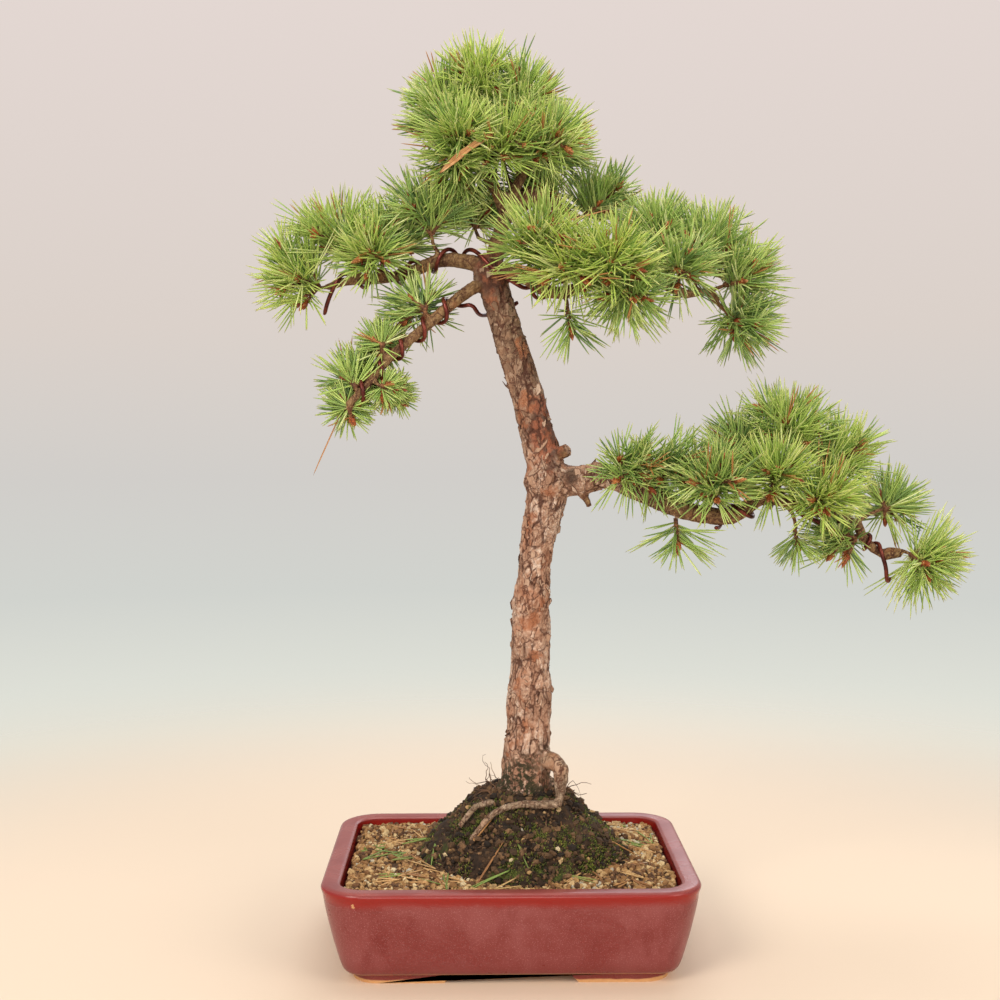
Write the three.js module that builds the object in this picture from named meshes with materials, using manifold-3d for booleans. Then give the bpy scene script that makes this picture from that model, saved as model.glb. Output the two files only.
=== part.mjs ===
// A wired pine bonsai in a rectangular glazed pot. Millimetres, +Z up, front towards -Y.
// The design is drawn about the middle of the pot, on the surface that the feet stand on, and
// the finished group is moved so that the middle of the whole object's base is at the origin.
import * as THREE from 'three';
import { mergeVertices } from 'three/addons/utils/BufferGeometryUtils.js';
import Module from 'manifold-3d';

const wasm = await Module();
wasm.setup();
const { Manifold } = wasm;

// ---------------------------------------------------------------- driving sizes

const clearance = 0.3; // between two pieces that touch

const pot = {
  width: 260, // outside, at the rim
  depth: 200,
  height: 68, // feet included
  cornerRadius: 30,
  cornerSteps: 5,
  taper: 15, // how far the foot of each wall stands in from its lip
  rimWidth: 13, // flat top of the wall
  lipRound: 2.6, // rounding of the rim's outer edge
  heelRound: 5, // rounding of the wall's lower edge
  wall: 8, // thickness at the foot of the wall
  floor: 8,
};

const foot = {
  height: 6.5,
  inset: 2, // behind the lower edge of the wall
  wall: 16,
  alongFront: 66, // length of each corner foot along the front and the back
  alongSide: 50,
  endSlope: 4, // how much longer a foot is at its top than where it stands
};

const drain = { offset: 60, radius: 14, sides: 20 };
const clip = { wireRadius: 0.8, fromHoleEdge: 2.5, armLength: 9, bend: 2, sides: 5, steps: 24 };
const mesh = { overlap: 6, thickness: 1, openings: 3, bar: 2.2 }; // overlap: past the hole's edge

const soil = { belowRim: 5.5, crown: 2.5, shoulder: 16 };

const soilRim = pot.height - soil.belowRim; // height of the grit along the walls

const mound = {
  centre: [9, 0],
  footRadius: 77, // where it meets the grit
  height: 52, // above the rim of the soil
  topRadius: 27,
  sunk: 10, // how deep the old root ball sits in the grit
  depthShare: 0.9, // front to back, against its width
  foot: 0.96, // of the foot's radius, down in the grit
  slope: [[0.83, 0.35], [0.63, 0.6]], // [of the foot's radius, of the height]
  shoulder: [[1.4, 0.82], [1, 0.97]], // [of the top's radius, of the height]
  lump: 0.045,
  segments: 20,
};

const wire = { radius: 1.6, sides: 6, stepsPerTurn: 9, stepsPerPoint: 1.1, standOff: 0.5 };
const tuftShape = {
  valley: 0.62, // radius between its points, against the points themselves
  middle: 0.38, // how far past its bud it is centred, against its length
  half: 0.56, // half its length along its lean, against its length
};
const twigRadius = { butt: 2.3, tip: 1.5 };
const deadLeaf = {
  from: [-50, -46, 487],
  to: [-10, -52, 516],
  acrossIt: [0.45, -0.35, -0.6],
  width: 13,
  thickness: 0.8,
  curl: 5,
  cup: 0.35, // how far its sides fold up, against the curl
  steps: 8,
};

// Wood, as [x, y, height above the soil, radius] along each axis from its butt to its tip.
const wood = {
  trunk: [
    [12, 0, 12, 21], [12, 0, 50, 19.5], [13, 1, 76, 17.6], [14, 2, 90, 16.4], [15, 3, 117, 16.8],
    [16, 3, 145, 14.4], [16, 1, 188, 14.1], [18, 0, 204, 12.5], [20, -2, 229, 12.5], [25, -4, 254, 14.1],
    [28, -5, 277, 15.3], [24, -6, 294, 13], [14, -8, 332, 12.2], [4, -9, 365, 11.7], [-7, -9, 401, 11],
    [-14, -8, 424, 11.2], [-14, -7, 438, 7.5],
  ],
  apex: [[-13, -7, 424, 8.5], [-7, -4, 452, 5.8], [-1, -2, 472, 4.6]],
  apexLeft: [[-3, -2, 466, 4.6], [-10, -3, 483, 4], [-19, -4, 496, 3.6], [-34, -6, 506, 3]],
  apexRight: [[-3, -2, 466, 4.6], [5, -3, 486, 4], [13, -4, 500, 3.6], [22, -6, 512, 3]],
  backRight: [
    [-5, -2, 460, 5], [5, 3, 474, 6], [15, 7, 481, 7], [25, 12, 478, 5], [38, 20, 474, 3.8],
    [52, 26, 468, 3],
  ],
  leftUpper: [
    [-10, -8, 428, 8], [-28, -6, 432, 5.8], [-49, -3, 434, 5.3], [-74, 4, 425, 4.5], [-92, 8, 422, 4.1],
    [-120, 12, 420, 3.4], [-132, 13, 416, 2.6],
  ],
  leftLower: [
    [-8, -6, 422, 7], [-21, -12, 416, 5], [-33, -18, 408, 4.7], [-59, -27, 385, 4], [-85, -32, 362, 3.5],
    [-102, -35, 341, 3.1], [-113, -37, 330, 2.6],
  ],
  rightFront: [
    [-12, -6, 426, 8], [11, -18, 421, 5.8], [23, -26, 411, 5.2], [35, -33, 408, 4.8], [52, -40, 413, 4.2],
    [70, -46, 420, 3.3],
  ],
  rightFar: [
    [46, -37, 411, 4.4], [71, -30, 416, 4], [92, -22, 415, 3.8], [110, -16, 415, 3.7], [126, -12, 409, 3.7],
    [140, -9, 412, 3.5], [149, -8, 404, 2.8],
  ],
  bough: [
    [20, -3, 278, 13], [50, -9, 276, 11.2], [68, -13, 281, 10.4], [87, -17, 273, 9], [118, -22, 258, 7.2],
    [136, -23, 253, 6.6], [160, -23, 252, 6], [177, -20, 264, 5.4], [198, -17, 262, 5], [234, -11, 250, 4.2],
    [250, -9, 246, 3.8], [256, -8, 234, 3.6], [274, -6, 221, 3.1], [284, -5, 223, 2.6],
  ],
  stub: [[24, -6, 288, 7], [34, -11, 295, 5.6], [42, -15, 299, 4.8]],
  deadSpur: [[46, -9, 272, 4.5], [54, -13, 265, 3], [57, -15, 258, 2]],
  frontRoot: [
    [12, -4, 78, 9], [28, -13, 75, 6.4], [36, -20, 72, 5], [36, -25, 58, 3.9], [35, -29, 48, 3.7],
    [24, -32, 47, 3.3], [6, -34, 48, 2.9], [-12, -36, 42, 2.5], [-28, -40, 24, 2],
  ],
  leftRoot: [[6, -8, 50, 6], [-8, -20, 45, 3], [-22, -25, 46, 2.4], [-36, -26, 30, 2]],
  leftFlare: [[8, -2, 56, 12], [-8, -4, 46, 8.5], [-24, -5, 34, 5]],
  backRoot: [[10, 8, 56, 10], [6, 24, 46, 6.5], [-4, 38, 35, 4.5], [-16, 50, 18, 3]],
  sideRoot: [[20, 4, 56, 10], [38, 12, 44, 6], [52, 18, 30, 4.2], [64, 22, 16, 3]],
};
const woodSides = { trunk: 12, bough: 10 };
const otherWoodSides = 7;
const twigSides = 5;
const twigSteps = 3;
const roundedKnots = [
  { at: [27, -7, 276], radius: 17 }, // callus in the fork of the bough
  { at: [15, 7, 481], radius: 8 }, // old cut behind the apex
  { at: [-14, -8, 422], radius: 12.5 }, // swelling at the head of the trunk
];

// Tufts of needles. Each stands on a twig that leaves a branch part of the way along it ('at'),
// bears its bud at 'tip' and points along 'lean'; 'long' and 'wide' are the tuft's own size.
const tufts = {
  crown_top: {
    from: 'apexLeft', at: 0.45, tip: [-20, 0, 546],
    lean: [-0.05, 0, 1], long: 54, wide: 56,
  },
  crown_top_left: {
    from: 'apexLeft', at: 0.75, tip: [-38, -2, 532],
    lean: [-0.5, 0, 1], long: 50, wide: 56,
  },
  crown_top_right: {
    from: 'apexRight', at: 0.5, tip: [6, 0, 535],
    lean: [0.15, 0, 1], long: 50, wide: 56,
  },
  crown_right: {
    from: 'apexRight', at: 0.6, tip: [10, -5, 518],
    lean: [0.6, -0.1, 0.7], long: 50, wide: 54,
  },
  crown_left: {
    from: 'apexLeft', at: 0.9, tip: [-38, -5, 521],
    lean: [-0.7, 0, 0.7], long: 48, wide: 54,
  },
  crown_low_left: {
    from: 'apexLeft', at: 0.75, tip: [-36, -9, 507],
    lean: [-1, -0.1, -0.05], long: 46, wide: 50,
  },
  crown_front_left: {
    from: 'apexLeft', at: 0.8, tip: [-33, -18, 510],
    lean: [-0.2, -0.9, 0.3], long: 44, wide: 52,
  },
  crown_front: {
    from: 'apexLeft', at: 0.3, tip: [-10, -18, 506],
    lean: [0.05, -0.9, 0.35], long: 44, wide: 52,
  },
  crown_front_right: {
    from: 'apexRight', at: 0.8, tip: [22, -18, 511],
    lean: [0.3, -0.9, 0.2], long: 42, wide: 50,
  },
  crown_back: {
    from: 'apexRight', at: 0.3, tip: [-8, 22, 528],
    lean: [-0.1, 0.6, 0.8], long: 50, wide: 58,
  },
  crown_back_right: {
    from: 'apexRight', at: 0.7, tip: [25, 12, 510],
    lean: [0.6, 0.7, 0.35], long: 48, wide: 54,
  },
  shoulder_left: {
    from: 'leftUpper', at: 0.28, tip: [-56, -6, 452],
    lean: [-0.1, -0.1, 1], long: 48, wide: 62,
  },
  shoulder_back: {
    from: 'apex', at: 0.5, tip: [-25, 16, 460],
    lean: [-0.1, 0.5, 0.9], long: 46, wide: 52,
  },
  left_tip: {
    from: 'leftUpper', at: 0.93, tip: [-138, 14, 416],
    lean: [-1, 0, 0.05], long: 50, wide: 68,
  },
  left_high: {
    from: 'leftUpper', at: 0.75, tip: [-117, 12, 438],
    lean: [-0.35, 0.1, 1], long: 48, wide: 64,
  },
  left_front: {
    from: 'leftUpper', at: 0.62, tip: [-98, -2, 434],
    lean: [0, -0.6, 0.8], long: 42, wide: 52,
  },
  left_back: {
    from: 'leftUpper', at: 0.5, tip: [-82, 10, 440],
    lean: [0.2, 0.4, 1], long: 44, wide: 54,
  },
  left_low_mid: {
    from: 'leftLower', at: 0.42, tip: [-60, -28, 397],
    lean: [-0.3, -0.4, 0.9], long: 42, wide: 58,
  },
  left_low_outer: {
    from: 'leftLower', at: 0.72, tip: [-89, -34, 372],
    lean: [-0.2, -0.3, 0.9], long: 40, wide: 50,
  },
  left_low_tip: {
    from: 'leftLower', at: 0.88, tip: [-108, -38, 342],
    lean: [-0.5, -0.1, 0.8], long: 46, wide: 54,
  },
  left_low_drop: {
    from: 'leftLower', at: 0.93, tip: [-112, -38, 328],
    lean: [-0.45, 0, -0.9], long: 40, wide: 46,
  },
  left_low_inner: {
    from: 'leftLower', at: 0.8, tip: [-90, -39, 343],
    lean: [0.7, -0.2, -0.3], long: 32, wide: 40,
  },
  back_high: { from: 'backRight', at: 0.6, tip: [38, 22, 482], lean: [0, 0.2, 1], long: 46, wide: 60 },
  back_outer: {
    from: 'backRight', at: 0.88, tip: [57, 27, 470],
    lean: [0.8, 0.1, 0.6], long: 48, wide: 54,
  },
  front_inner: {
    from: 'rightFront', at: 0.45, tip: [25, -32, 431],
    lean: [-0.1, -0.4, 0.9], long: 42, wide: 54,
  },
  front_mid: {
    from: 'rightFront', at: 0.72, tip: [48, -44, 426],
    lean: [0.05, -0.3, 0.95], long: 44, wide: 54,
  },
  front_outer: {
    from: 'rightFront', at: 0.85, tip: [69, -50, 426],
    lean: [0.5, -0.3, 0.8], long: 50, wide: 58,
  },
  front_low: {
    from: 'rightFront', at: 0.9, tip: [76, -48, 416],
    lean: [0.8, -0.3, -0.3], long: 46, wide: 50,
  },
  front_drop: {
    from: 'rightFront', at: 0.55, tip: [40, -38, 398],
    lean: [0.1, -0.2, -1], long: 40, wide: 50,
  },
  far_face: {
    from: 'rightFar', at: 0.7, tip: [119, -27, 427],
    lean: [0, -0.95, 0.15], long: 38, wide: 50,
  },
  far_inner: {
    from: 'rightFar', at: 0.55, tip: [108, -8, 439],
    lean: [-0.1, 0.2, 1], long: 48, wide: 58,
  },
  far_high: {
    from: 'rightFar', at: 0.8, tip: [137, -5, 437],
    lean: [0.15, 0.1, 1], long: 48, wide: 58,
  },
  far_outer: {
    from: 'rightFar', at: 0.9, tip: [154, -7, 416],
    lean: [0.9, 0, 0.35], long: 50, wide: 56,
  },
  far_drop: {
    from: 'rightFar', at: 0.95, tip: [155, -9, 397],
    lean: [0.75, -0.1, -0.6], long: 48, wide: 50,
  },
  bough_first: {
    from: 'bough', at: 0.24, tip: [86, -17, 286],
    lean: [-0.3, 0, 0.95], long: 44, wide: 54,
  },
  bough_second: {
    from: 'bough', at: 0.29, tip: [104, -14, 290],
    lean: [0.05, 0.2, 1], long: 46, wide: 54,
  },
  bough_third: {
    from: 'bough', at: 0.38, tip: [135, -9, 280],
    lean: [0.1, 0.3, 0.95], long: 50, wide: 58,
  },
  bough_face: {
    from: 'bough', at: 0.44, tip: [143, -35, 271],
    lean: [0, -0.95, 0.15], long: 40, wide: 54,
  },
  bough_drop: {
    from: 'bough', at: 0.34, tip: [118, -27, 250],
    lean: [0, -0.15, -1], long: 42, wide: 58,
  },
  bough_back: {
    from: 'bough', at: 0.5, tip: [166, -6, 284],
    lean: [0.1, 0.3, 0.95], long: 48, wide: 56,
  },
  bough_crest: {
    from: 'bough', at: 0.62, tip: [199, -11, 300],
    lean: [0.1, 0.1, 1], long: 50, wide: 66,
  },
  bough_front: {
    from: 'bough', at: 0.56, tip: [186, -32, 276],
    lean: [0, -0.8, 0.5], long: 42, wide: 58,
  },
  bough_outer: {
    from: 'bough', at: 0.7, tip: [225, -9, 283],
    lean: [0.8, 0.1, 0.6], long: 54, wide: 60,
  },
  bough_bright: {
    from: 'bough', at: 0.66, tip: [217, -27, 262],
    lean: [0.3, -0.85, 0.1], long: 42, wide: 52,
  },
  bough_hanging: {
    from: 'bough', at: 0.61, tip: [205, -18, 242],
    lean: [0.05, 0, -1], long: 36, wide: 38,
  },
  bough_under: {
    from: 'bough', at: 0.8, tip: [243, -17, 238],
    lean: [-0.1, -0.4, -0.9], long: 38, wide: 46,
  },
  bough_late: {
    from: 'bough', at: 0.84, tip: [272, -3, 256],
    lean: [0.95, 0.1, 0.3], long: 46, wide: 48,
  },
  bough_tip: {
    from: 'bough', at: 0.94, tip: [291, -6, 223],
    lean: [0.9, 0, -0.45], long: 52, wide: 60,
  },
};

// Where a training wire leaves the wood: its bent ends and the spans between two branches.
const freeWireEnds = {
  leftUpper: [[-134, 12, 396], [-131, 9, 406]],
  acrossHead: [
    [-33, -1, 439], [-28, -9, 441], [-22, -17, 437], [-15, -22, 429], [-6, -23, 421], [2, -22, 417],
  ],
  rightFork: [[38, -31, 416], [46, -32, 418], [55, -31, 420], [65, -28, 421]],
  behindTrunk: [[-27, -23, 401], [-22, -12, 395], [-14, 4, 396], [-2, 6, 400], [6, -4, 404]],
  boughStraight: [[219, -18, 248], [231, -17, 240], [244, -15, 233]],
  boughHook: [[271, -13, 214], [272, -11, 205], [274, -8, 202], [276, -6, 206]],
};

const colours = {
  glaze: 0x964640, grit: 0xb0946c, moss: 0x4c4428, bark: 0xa98468, wire: 0x6e322d,
  plastic: 0x23262a, clipWire: 0xb0a89a, leaf: 0xc7a77c, needle: 0x5d8436, brightNeedle: 0x8aa845,
};

// ---------------------------------------------------------------- general helpers

const vector = (list) => new THREE.Vector3(list[0], list[1], list[2]);
const aboveSoil = (list) => new THREE.Vector3(list[0], list[1], list[2] + soilRim);

function solidOf(geometry) {
  const plain = geometry.clone();
  for (const name of Object.keys(plain.attributes)) {
    if (name !== 'position') plain.deleteAttribute(name);
  }
  const welded = mergeVertices(plain, 1e-4);
  return new Manifold(new wasm.Mesh({
    numProp: 3,
    vertProperties: Float32Array.from(welded.attributes.position.array),
    triVerts: Uint32Array.from(welded.index.array),
  }));
}

function geometryOf(solid) {
  const skin = solid.getMesh();
  const geometry = new THREE.BufferGeometry();
  geometry.setAttribute('position', new THREE.BufferAttribute(Float32Array.from(skin.vertProperties), 3));
  geometry.setIndex(new THREE.BufferAttribute(Uint32Array.from(skin.triVerts), 1));
  geometry.computeVertexNormals();
  return geometry;
}

function largestBody(solid) {
  const bodies = solid.decompose();
  return bodies.reduce((best, body) => (body.volume() > best.volume() ? body : best));
}

function boxesMeet(a, b) {
  const one = a.boundingBox();
  const two = b.boundingBox();
  return [0, 1, 2].every((k) => one.min[k] < two.max[k] && two.min[k] < one.max[k]);
}

function without(solid, cutters) {
  const near = cutters.filter((cutter) => boxesMeet(solid, cutter));
  return near.reduce((left, cutter) => left.subtract(cutter), solid);
}

// A closed skin through a stack of rounded rectangles, each { z, width, depth, radius }.
function loft(levels, cornerSteps) {
  const count = 4 * (cornerSteps + 1);
  const geometry = new THREE.CylinderGeometry(1, 1, 1, count, levels.length - 1);
  const places = geometry.attributes.position;
  for (let i = 0; i < places.count; i += 1) {
    const [x, y, z] = [places.getX(i), places.getY(i), places.getZ(i)];
    const level = levels[Math.round((y + 0.5) * (levels.length - 1))];
    const onAxis = Math.hypot(x, z) < 0.5;
    const spot = onAxis ? [0, 0] : roundedRectanglePoint(level, Math.atan2(x, z), count, cornerSteps);
    places.setXYZ(i, spot[0], spot[1], level.z);
  }
  return geometry;
}

function roundedRectanglePoint({ width, depth, radius }, angle, count, cornerSteps) {
  const index = (Math.round((angle / (2 * Math.PI)) * count) + count) % count;
  const corner = Math.floor(index / (cornerSteps + 1));
  const along = (index % (cornerSteps + 1)) / cornerSteps;
  const turn = (corner - 1 + along) * (Math.PI / 2);
  const [sideX, sideY] = [[1, -1], [1, 1], [-1, 1], [-1, -1]][corner];
  return [
    sideX * (width / 2 - radius) + radius * Math.cos(turn),
    sideY * (depth / 2 - radius) + radius * Math.sin(turn),
  ];
}

// The smooth axis of a piece of wood or wire, with its thickness and a steady frame along it.
function axisThrough(points) {
  const curve = new THREE.CatmullRomCurve3(points.map(aboveSoil), false, 'centripetal');
  const radii = points.map((point) => point[3]);
  return {
    curve,
    frames: curve.computeFrenetFrames(200, false),
    radiusAt(share) {
      const place = curve.getUtoTmapping(share) * (radii.length - 1);
      const before = Math.min(Math.floor(place), radii.length - 2);
      return THREE.MathUtils.lerp(radii[before], radii[before + 1], place - before);
    },
  };
}

// A closed round bar of changing thickness; 'grow' makes it that much larger all over.
function taperedBar(points, sides, steps, grow) {
  const { curve, radiusAt } = axisThrough(points);
  const frames = curve.computeFrenetFrames(steps, false);
  const geometry = new THREE.CylinderGeometry(1, 1, 1, sides, steps);
  const places = geometry.attributes.position;
  for (let i = 0; i < places.count; i += 1) {
    const step = Math.round((0.5 - places.getY(i)) * steps);
    const reach = radiusAt(step / steps) + grow;
    const centre = curve.getPointAt(step / steps);
    if (step === 0) centre.addScaledVector(frames.tangents[0], -grow);
    if (step === steps) centre.addScaledVector(frames.tangents[steps], grow);
    centre.addScaledVector(frames.normals[step], places.getX(i) * reach);
    centre.addScaledVector(frames.binormals[step], places.getZ(i) * reach);
    places.setXYZ(i, centre.x, centre.y, centre.z);
  }
  return solidOf(geometry);
}

function wireThrough(points, radius, sides, steps) {
  const corners = Array.from({ length: sides }, (_, i) => {
    const turn = (2 * Math.PI * i) / sides;
    return new THREE.Vector2(radius * Math.cos(turn), radius * Math.sin(turn));
  });
  const path = new THREE.CatmullRomCurve3(points, false, 'centripetal');
  return solidOf(new THREE.ExtrudeGeometry(new THREE.Shape(corners), { steps, extrudePath: path }));
}

// ---------------------------------------------------------------- the pot

function potLevel(z, inset) {
  return {
    z,
    width: pot.width - 2 * inset,
    depth: pot.depth - 2 * inset,
    radius: Math.max(pot.cornerRadius - inset * 0.7, 4),
  };
}

function wallInset(z) { // of the straight outer wall
  return pot.taper * (1 - (z - foot.height) / (pot.height - pot.lipRound - foot.height));
}

function cavityInset(z) { // of the inner wall
  const share = (z - foot.height - pot.floor) / (pot.height - foot.height - pot.floor);
  return THREE.MathUtils.lerp(pot.taper + pot.wall, pot.rimWidth, Math.min(Math.max(share, 0), 1));
}

function potShell() {
  const lip = pot.height - pot.lipRound;
  const heel = foot.height + pot.heelRound;
  const outside = loft([
    potLevel(foot.height, pot.taper + pot.heelRound * 0.8),
    potLevel(foot.height + pot.heelRound * 0.3, pot.taper + pot.heelRound * 0.2),
    potLevel(heel, wallInset(heel)),
    potLevel(lip, wallInset(lip)),
    potLevel(pot.height - pot.lipRound * 0.3, pot.lipRound * 0.3),
    potLevel(pot.height, pot.lipRound),
  ], pot.cornerSteps);
  const floorTop = foot.height + pot.floor;
  const inside = loft([
    potLevel(floorTop, cavityInset(floorTop)),
    potLevel(pot.height + 1, cavityInset(pot.height)),
  ], pot.cornerSteps);
  return solidOf(outside).subtract(solidOf(inside));
}

// A bar with slanted ends that parts two neighbouring feet, along X or along Y.
function footGap(length, across, alongX) {
  const half = length / 2;
  const outline = new THREE.Shape([
    new THREE.Vector2(-half - foot.endSlope, -1),
    new THREE.Vector2(half + foot.endSlope, -1),
    new THREE.Vector2(half - foot.endSlope, foot.height),
    new THREE.Vector2(-half + foot.endSlope, foot.height),
  ]);
  const bar = new THREE.ExtrudeGeometry(outline, { depth: across, bevelEnabled: false });
  bar.translate(0, 0, -across / 2);
  bar.rotateX(Math.PI / 2);
  if (!alongX) bar.rotateZ(Math.PI / 2);
  return solidOf(bar);
}

function potFeet() {
  const top = foot.height + pot.heelRound * 0.3; // reaches up into the wall, to be one with it
  const outer = pot.taper + foot.inset + 1;
  const inner = outer + foot.wall;
  const ring = solidOf(loft([potLevel(0, outer + 1), potLevel(top, outer)], pot.cornerSteps)).subtract(
    solidOf(loft([potLevel(-1, inner), potLevel(foot.height, inner)], pot.cornerSteps)),
  );
  const frontLength = pot.width - 2 * outer - 2 * foot.alongFront;
  const sideLength = pot.depth - 2 * outer - 2 * foot.alongSide;
  return ring
    .subtract(footGap(frontLength, pot.depth, true))
    .subtract(footGap(sideLength, pot.width, false));
}

function drainHole(side) {
  const hole = new THREE.CylinderGeometry(drain.radius, drain.radius, 3 * pot.floor, drain.sides);
  hole.rotateX(Math.PI / 2);
  hole.translate(side * drain.offset, 0, foot.height + pot.floor / 2);
  return solidOf(hole);
}

function pottery() {
  return potShell().add(potFeet()).subtract(drainHole(-1)).subtract(drainHole(1));
}

// ---------------------------------------------------------------- drainage mesh and its clips

const meshBottom = foot.height + pot.floor + clearance;
const meshTop = meshBottom + mesh.thickness;
const legSpread = drain.radius - clip.fromHoleEdge; // the clip's legs, and the mesh's pitch

function block(width, depth, height, x, y, z) {
  const geometry = new THREE.BoxGeometry(width, depth, height);
  geometry.translate(x, y, z);
  return solidOf(geometry);
}

function meshPlate(side, openings, grow) {
  const outer = 2 * (drain.radius + mesh.overlap + grow);
  const height = mesh.thickness + grow;
  const middle = meshBottom + height / 2;
  const opening = legSpread - mesh.bar;
  let plate = block(outer, outer, height, side * drain.offset, 0, middle);
  for (let column = 0; column < openings; column += 1) {
    for (let row = 0; row < openings; row += 1) {
      const x = side * drain.offset + (column - (openings - 1) / 2) * legSpread;
      const y = (row - (openings - 1) / 2) * legSpread;
      plate = plate.subtract(block(opening, opening, 3 * height, x, y, middle));
    }
  }
  return plate;
}

function clipWire(side, grow) {
  const x = side * drain.offset;
  const over = meshTop + clip.wireRadius + clearance;
  const under = foot.height - clip.wireRadius - clearance;
  const { bend, armLength } = clip;
  const half = [
    [-legSpread - armLength, under],
    [-legSpread - bend, under],
    [-legSpread, under + 0.75 * bend],
    [-legSpread, over - 0.75 * bend],
    [-legSpread + bend, over],
  ];
  const otherHalf = half.map(([away, z]) => [-away, z]).reverse();
  const path = [...half, ...otherHalf].map(([away, z]) => [x + away, 0, z]);
  return wireThrough(path.map(vector), clip.wireRadius + grow, clip.sides, clip.steps);
}

// ---------------------------------------------------------------- soil and the old root ball

function moundSolid(grow) {
  const base = soilRim - mound.sunk - grow;
  const ring = (radius) => ([wide, high]) => [radius * wide + grow, soilRim + mound.height * high];
  const profile = [
    [0, base],
    [mound.footRadius * mound.foot + grow, base],
    [mound.footRadius + grow, soilRim + 1],
    ...mound.slope.map(ring(mound.footRadius)),
    ...mound.shoulder.map(ring(mound.topRadius)),
    [0, soilRim + mound.height + grow],
  ].map(([x, y]) => new THREE.Vector2(x, y));
  const geometry = new THREE.LatheGeometry(profile, mound.segments);
  geometry.rotateX(Math.PI / 2);
  const places = geometry.attributes.position;
  for (let i = 0; i < places.count; i += 1) {
    const [x, y, z] = [places.getX(i), places.getY(i), places.getZ(i)];
    const around = Math.atan2(y, x);
    const swell = 1 + mound.lump * (Math.sin(3 * around + 0.6) + 0.6 * Math.sin(5 * around + z * 0.05));
    places.setXYZ(i, x * swell + mound.centre[0], y * swell * mound.depthShare + mound.centre[1], z);
  }
  return solidOf(geometry);
}

// The room that the walls take, which the ground keeps out of.
function wallSpace() {
  const cavity = loft([
    potLevel(0, cavityInset(0) + clearance),
    potLevel(meshBottom, cavityInset(meshBottom) + clearance),
    potLevel(pot.height + 1, cavityInset(pot.height) + clearance),
  ], pot.cornerSteps);
  return block(2 * pot.width, 2 * pot.depth, pot.height, 0, 0, pot.height / 2).subtract(solidOf(cavity));
}

function soilSolid() {
  const bottom = foot.height + pot.floor + clearance;
  const gapped = (z) => cavityInset(z) + clearance;
  return solidOf(loft([
    potLevel(bottom, gapped(bottom)),
    potLevel(soilRim, gapped(soilRim)),
    potLevel(soilRim + soil.crown * 0.7, gapped(soilRim) + soil.shoulder),
    potLevel(soilRim + soil.crown, gapped(soilRim) + 3 * soil.shoulder),
  ], pot.cornerSteps));
}

// ---------------------------------------------------------------- the tree

const axes = Object.fromEntries(
  Object.entries(wood).map(([name, points]) => [name, axisThrough(points)]),
);

function knotSolid({ at, radius }, grow) {
  const ball = new THREE.IcosahedronGeometry(radius + grow, 1);
  ball.translate(...aboveSoil(at).toArray());
  return solidOf(ball);
}

function twigPoints({ from, at, tip, lean }) {
  const butt = axes[from].curve.getPointAt(at).sub(aboveSoil([0, 0, 0]));
  const end = vector(tip);
  const bend = end.clone().addScaledVector(vector(lean).normalize(), -0.45 * end.distanceTo(butt));
  return [
    [...butt.toArray(), twigRadius.butt],
    [...butt.clone().lerp(bend, 0.75).toArray(), THREE.MathUtils.lerp(twigRadius.butt, twigRadius.tip, 0.5)],
    [...end.toArray(), twigRadius.tip],
  ];
}

function treePieces(grow) {
  const limbs = Object.entries(wood).map(([name, points]) => (
    taperedBar(points, woodSides[name] ?? otherWoodSides, 2 * (points.length - 1), grow)));
  const twigs = Object.values(tufts).map((tuft) => (
    taperedBar(twigPoints(tuft), twigSides, twigSteps, grow)));
  return [...limbs, ...twigs, ...roundedKnots.map((knot) => knotSolid(knot, grow))];
}

// ---------------------------------------------------------------- training wires

// Points of a coil laid on a branch, from one share of its length to another.
function coilPoints(branch, from, to, turns, startTurn) {
  const { curve, frames, radiusAt } = axes[branch];
  const count = Math.round(Math.abs(turns) * wire.stepsPerTurn);
  return Array.from({ length: count + 1 }, (_, i) => {
    const share = THREE.MathUtils.lerp(from, to, i / count);
    const frame = Math.round(share * (frames.normals.length - 1));
    const angle = 2 * Math.PI * (startTurn + (turns * i) / count);
    const reach = radiusAt(share) + wire.radius + clearance + wire.standOff;
    return curve.getPointAt(share)
      .addScaledVector(frames.normals[frame], reach * Math.cos(angle))
      .addScaledVector(frames.binormals[frame], reach * Math.sin(angle));
  });
}

const wirePaths = {
  wire_upper: [
    ...freeWireEnds.leftUpper.map(aboveSoil),
    ...coilPoints('leftUpper', 0.92, 0.2, 3.5, 0.05),
    ...freeWireEnds.acrossHead.map(aboveSoil),
    ...coilPoints('rightFront', 0.3, 0.5, 1.5, 0.95),
    ...freeWireEnds.rightFork.map(aboveSoil),
    ...coilPoints('rightFar', 0.3, 0.75, 3, 0.35),
  ],
  wire_left_lower: [
    ...coilPoints('leftLower', 0.94, 0.24, 5, 0.0),
    ...freeWireEnds.behindTrunk.map(aboveSoil),
  ],
  wire_bough: [
    ...coilPoints('bough', 0.46, 0.68, 3, 0.9),
    ...freeWireEnds.boughStraight.map(aboveSoil),
    ...coilPoints('bough', 0.87, 0.93, 1.7, 0),
    ...freeWireEnds.boughHook.map(aboveSoil),
  ],
};

function wireSolid(points, grow) {
  return wireThrough(points, wire.radius + grow, wire.sides, Math.round(points.length * wire.stepsPerPoint));
}

// ---------------------------------------------------------------- needles and the fallen leaf

const spikeDirections = (() => {
  const places = new THREE.IcosahedronGeometry(1, 0).attributes.position;
  return Array.from({ length: places.count }, (_, i) => new THREE.Vector3().fromBufferAttribute(places, i));
})();

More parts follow.
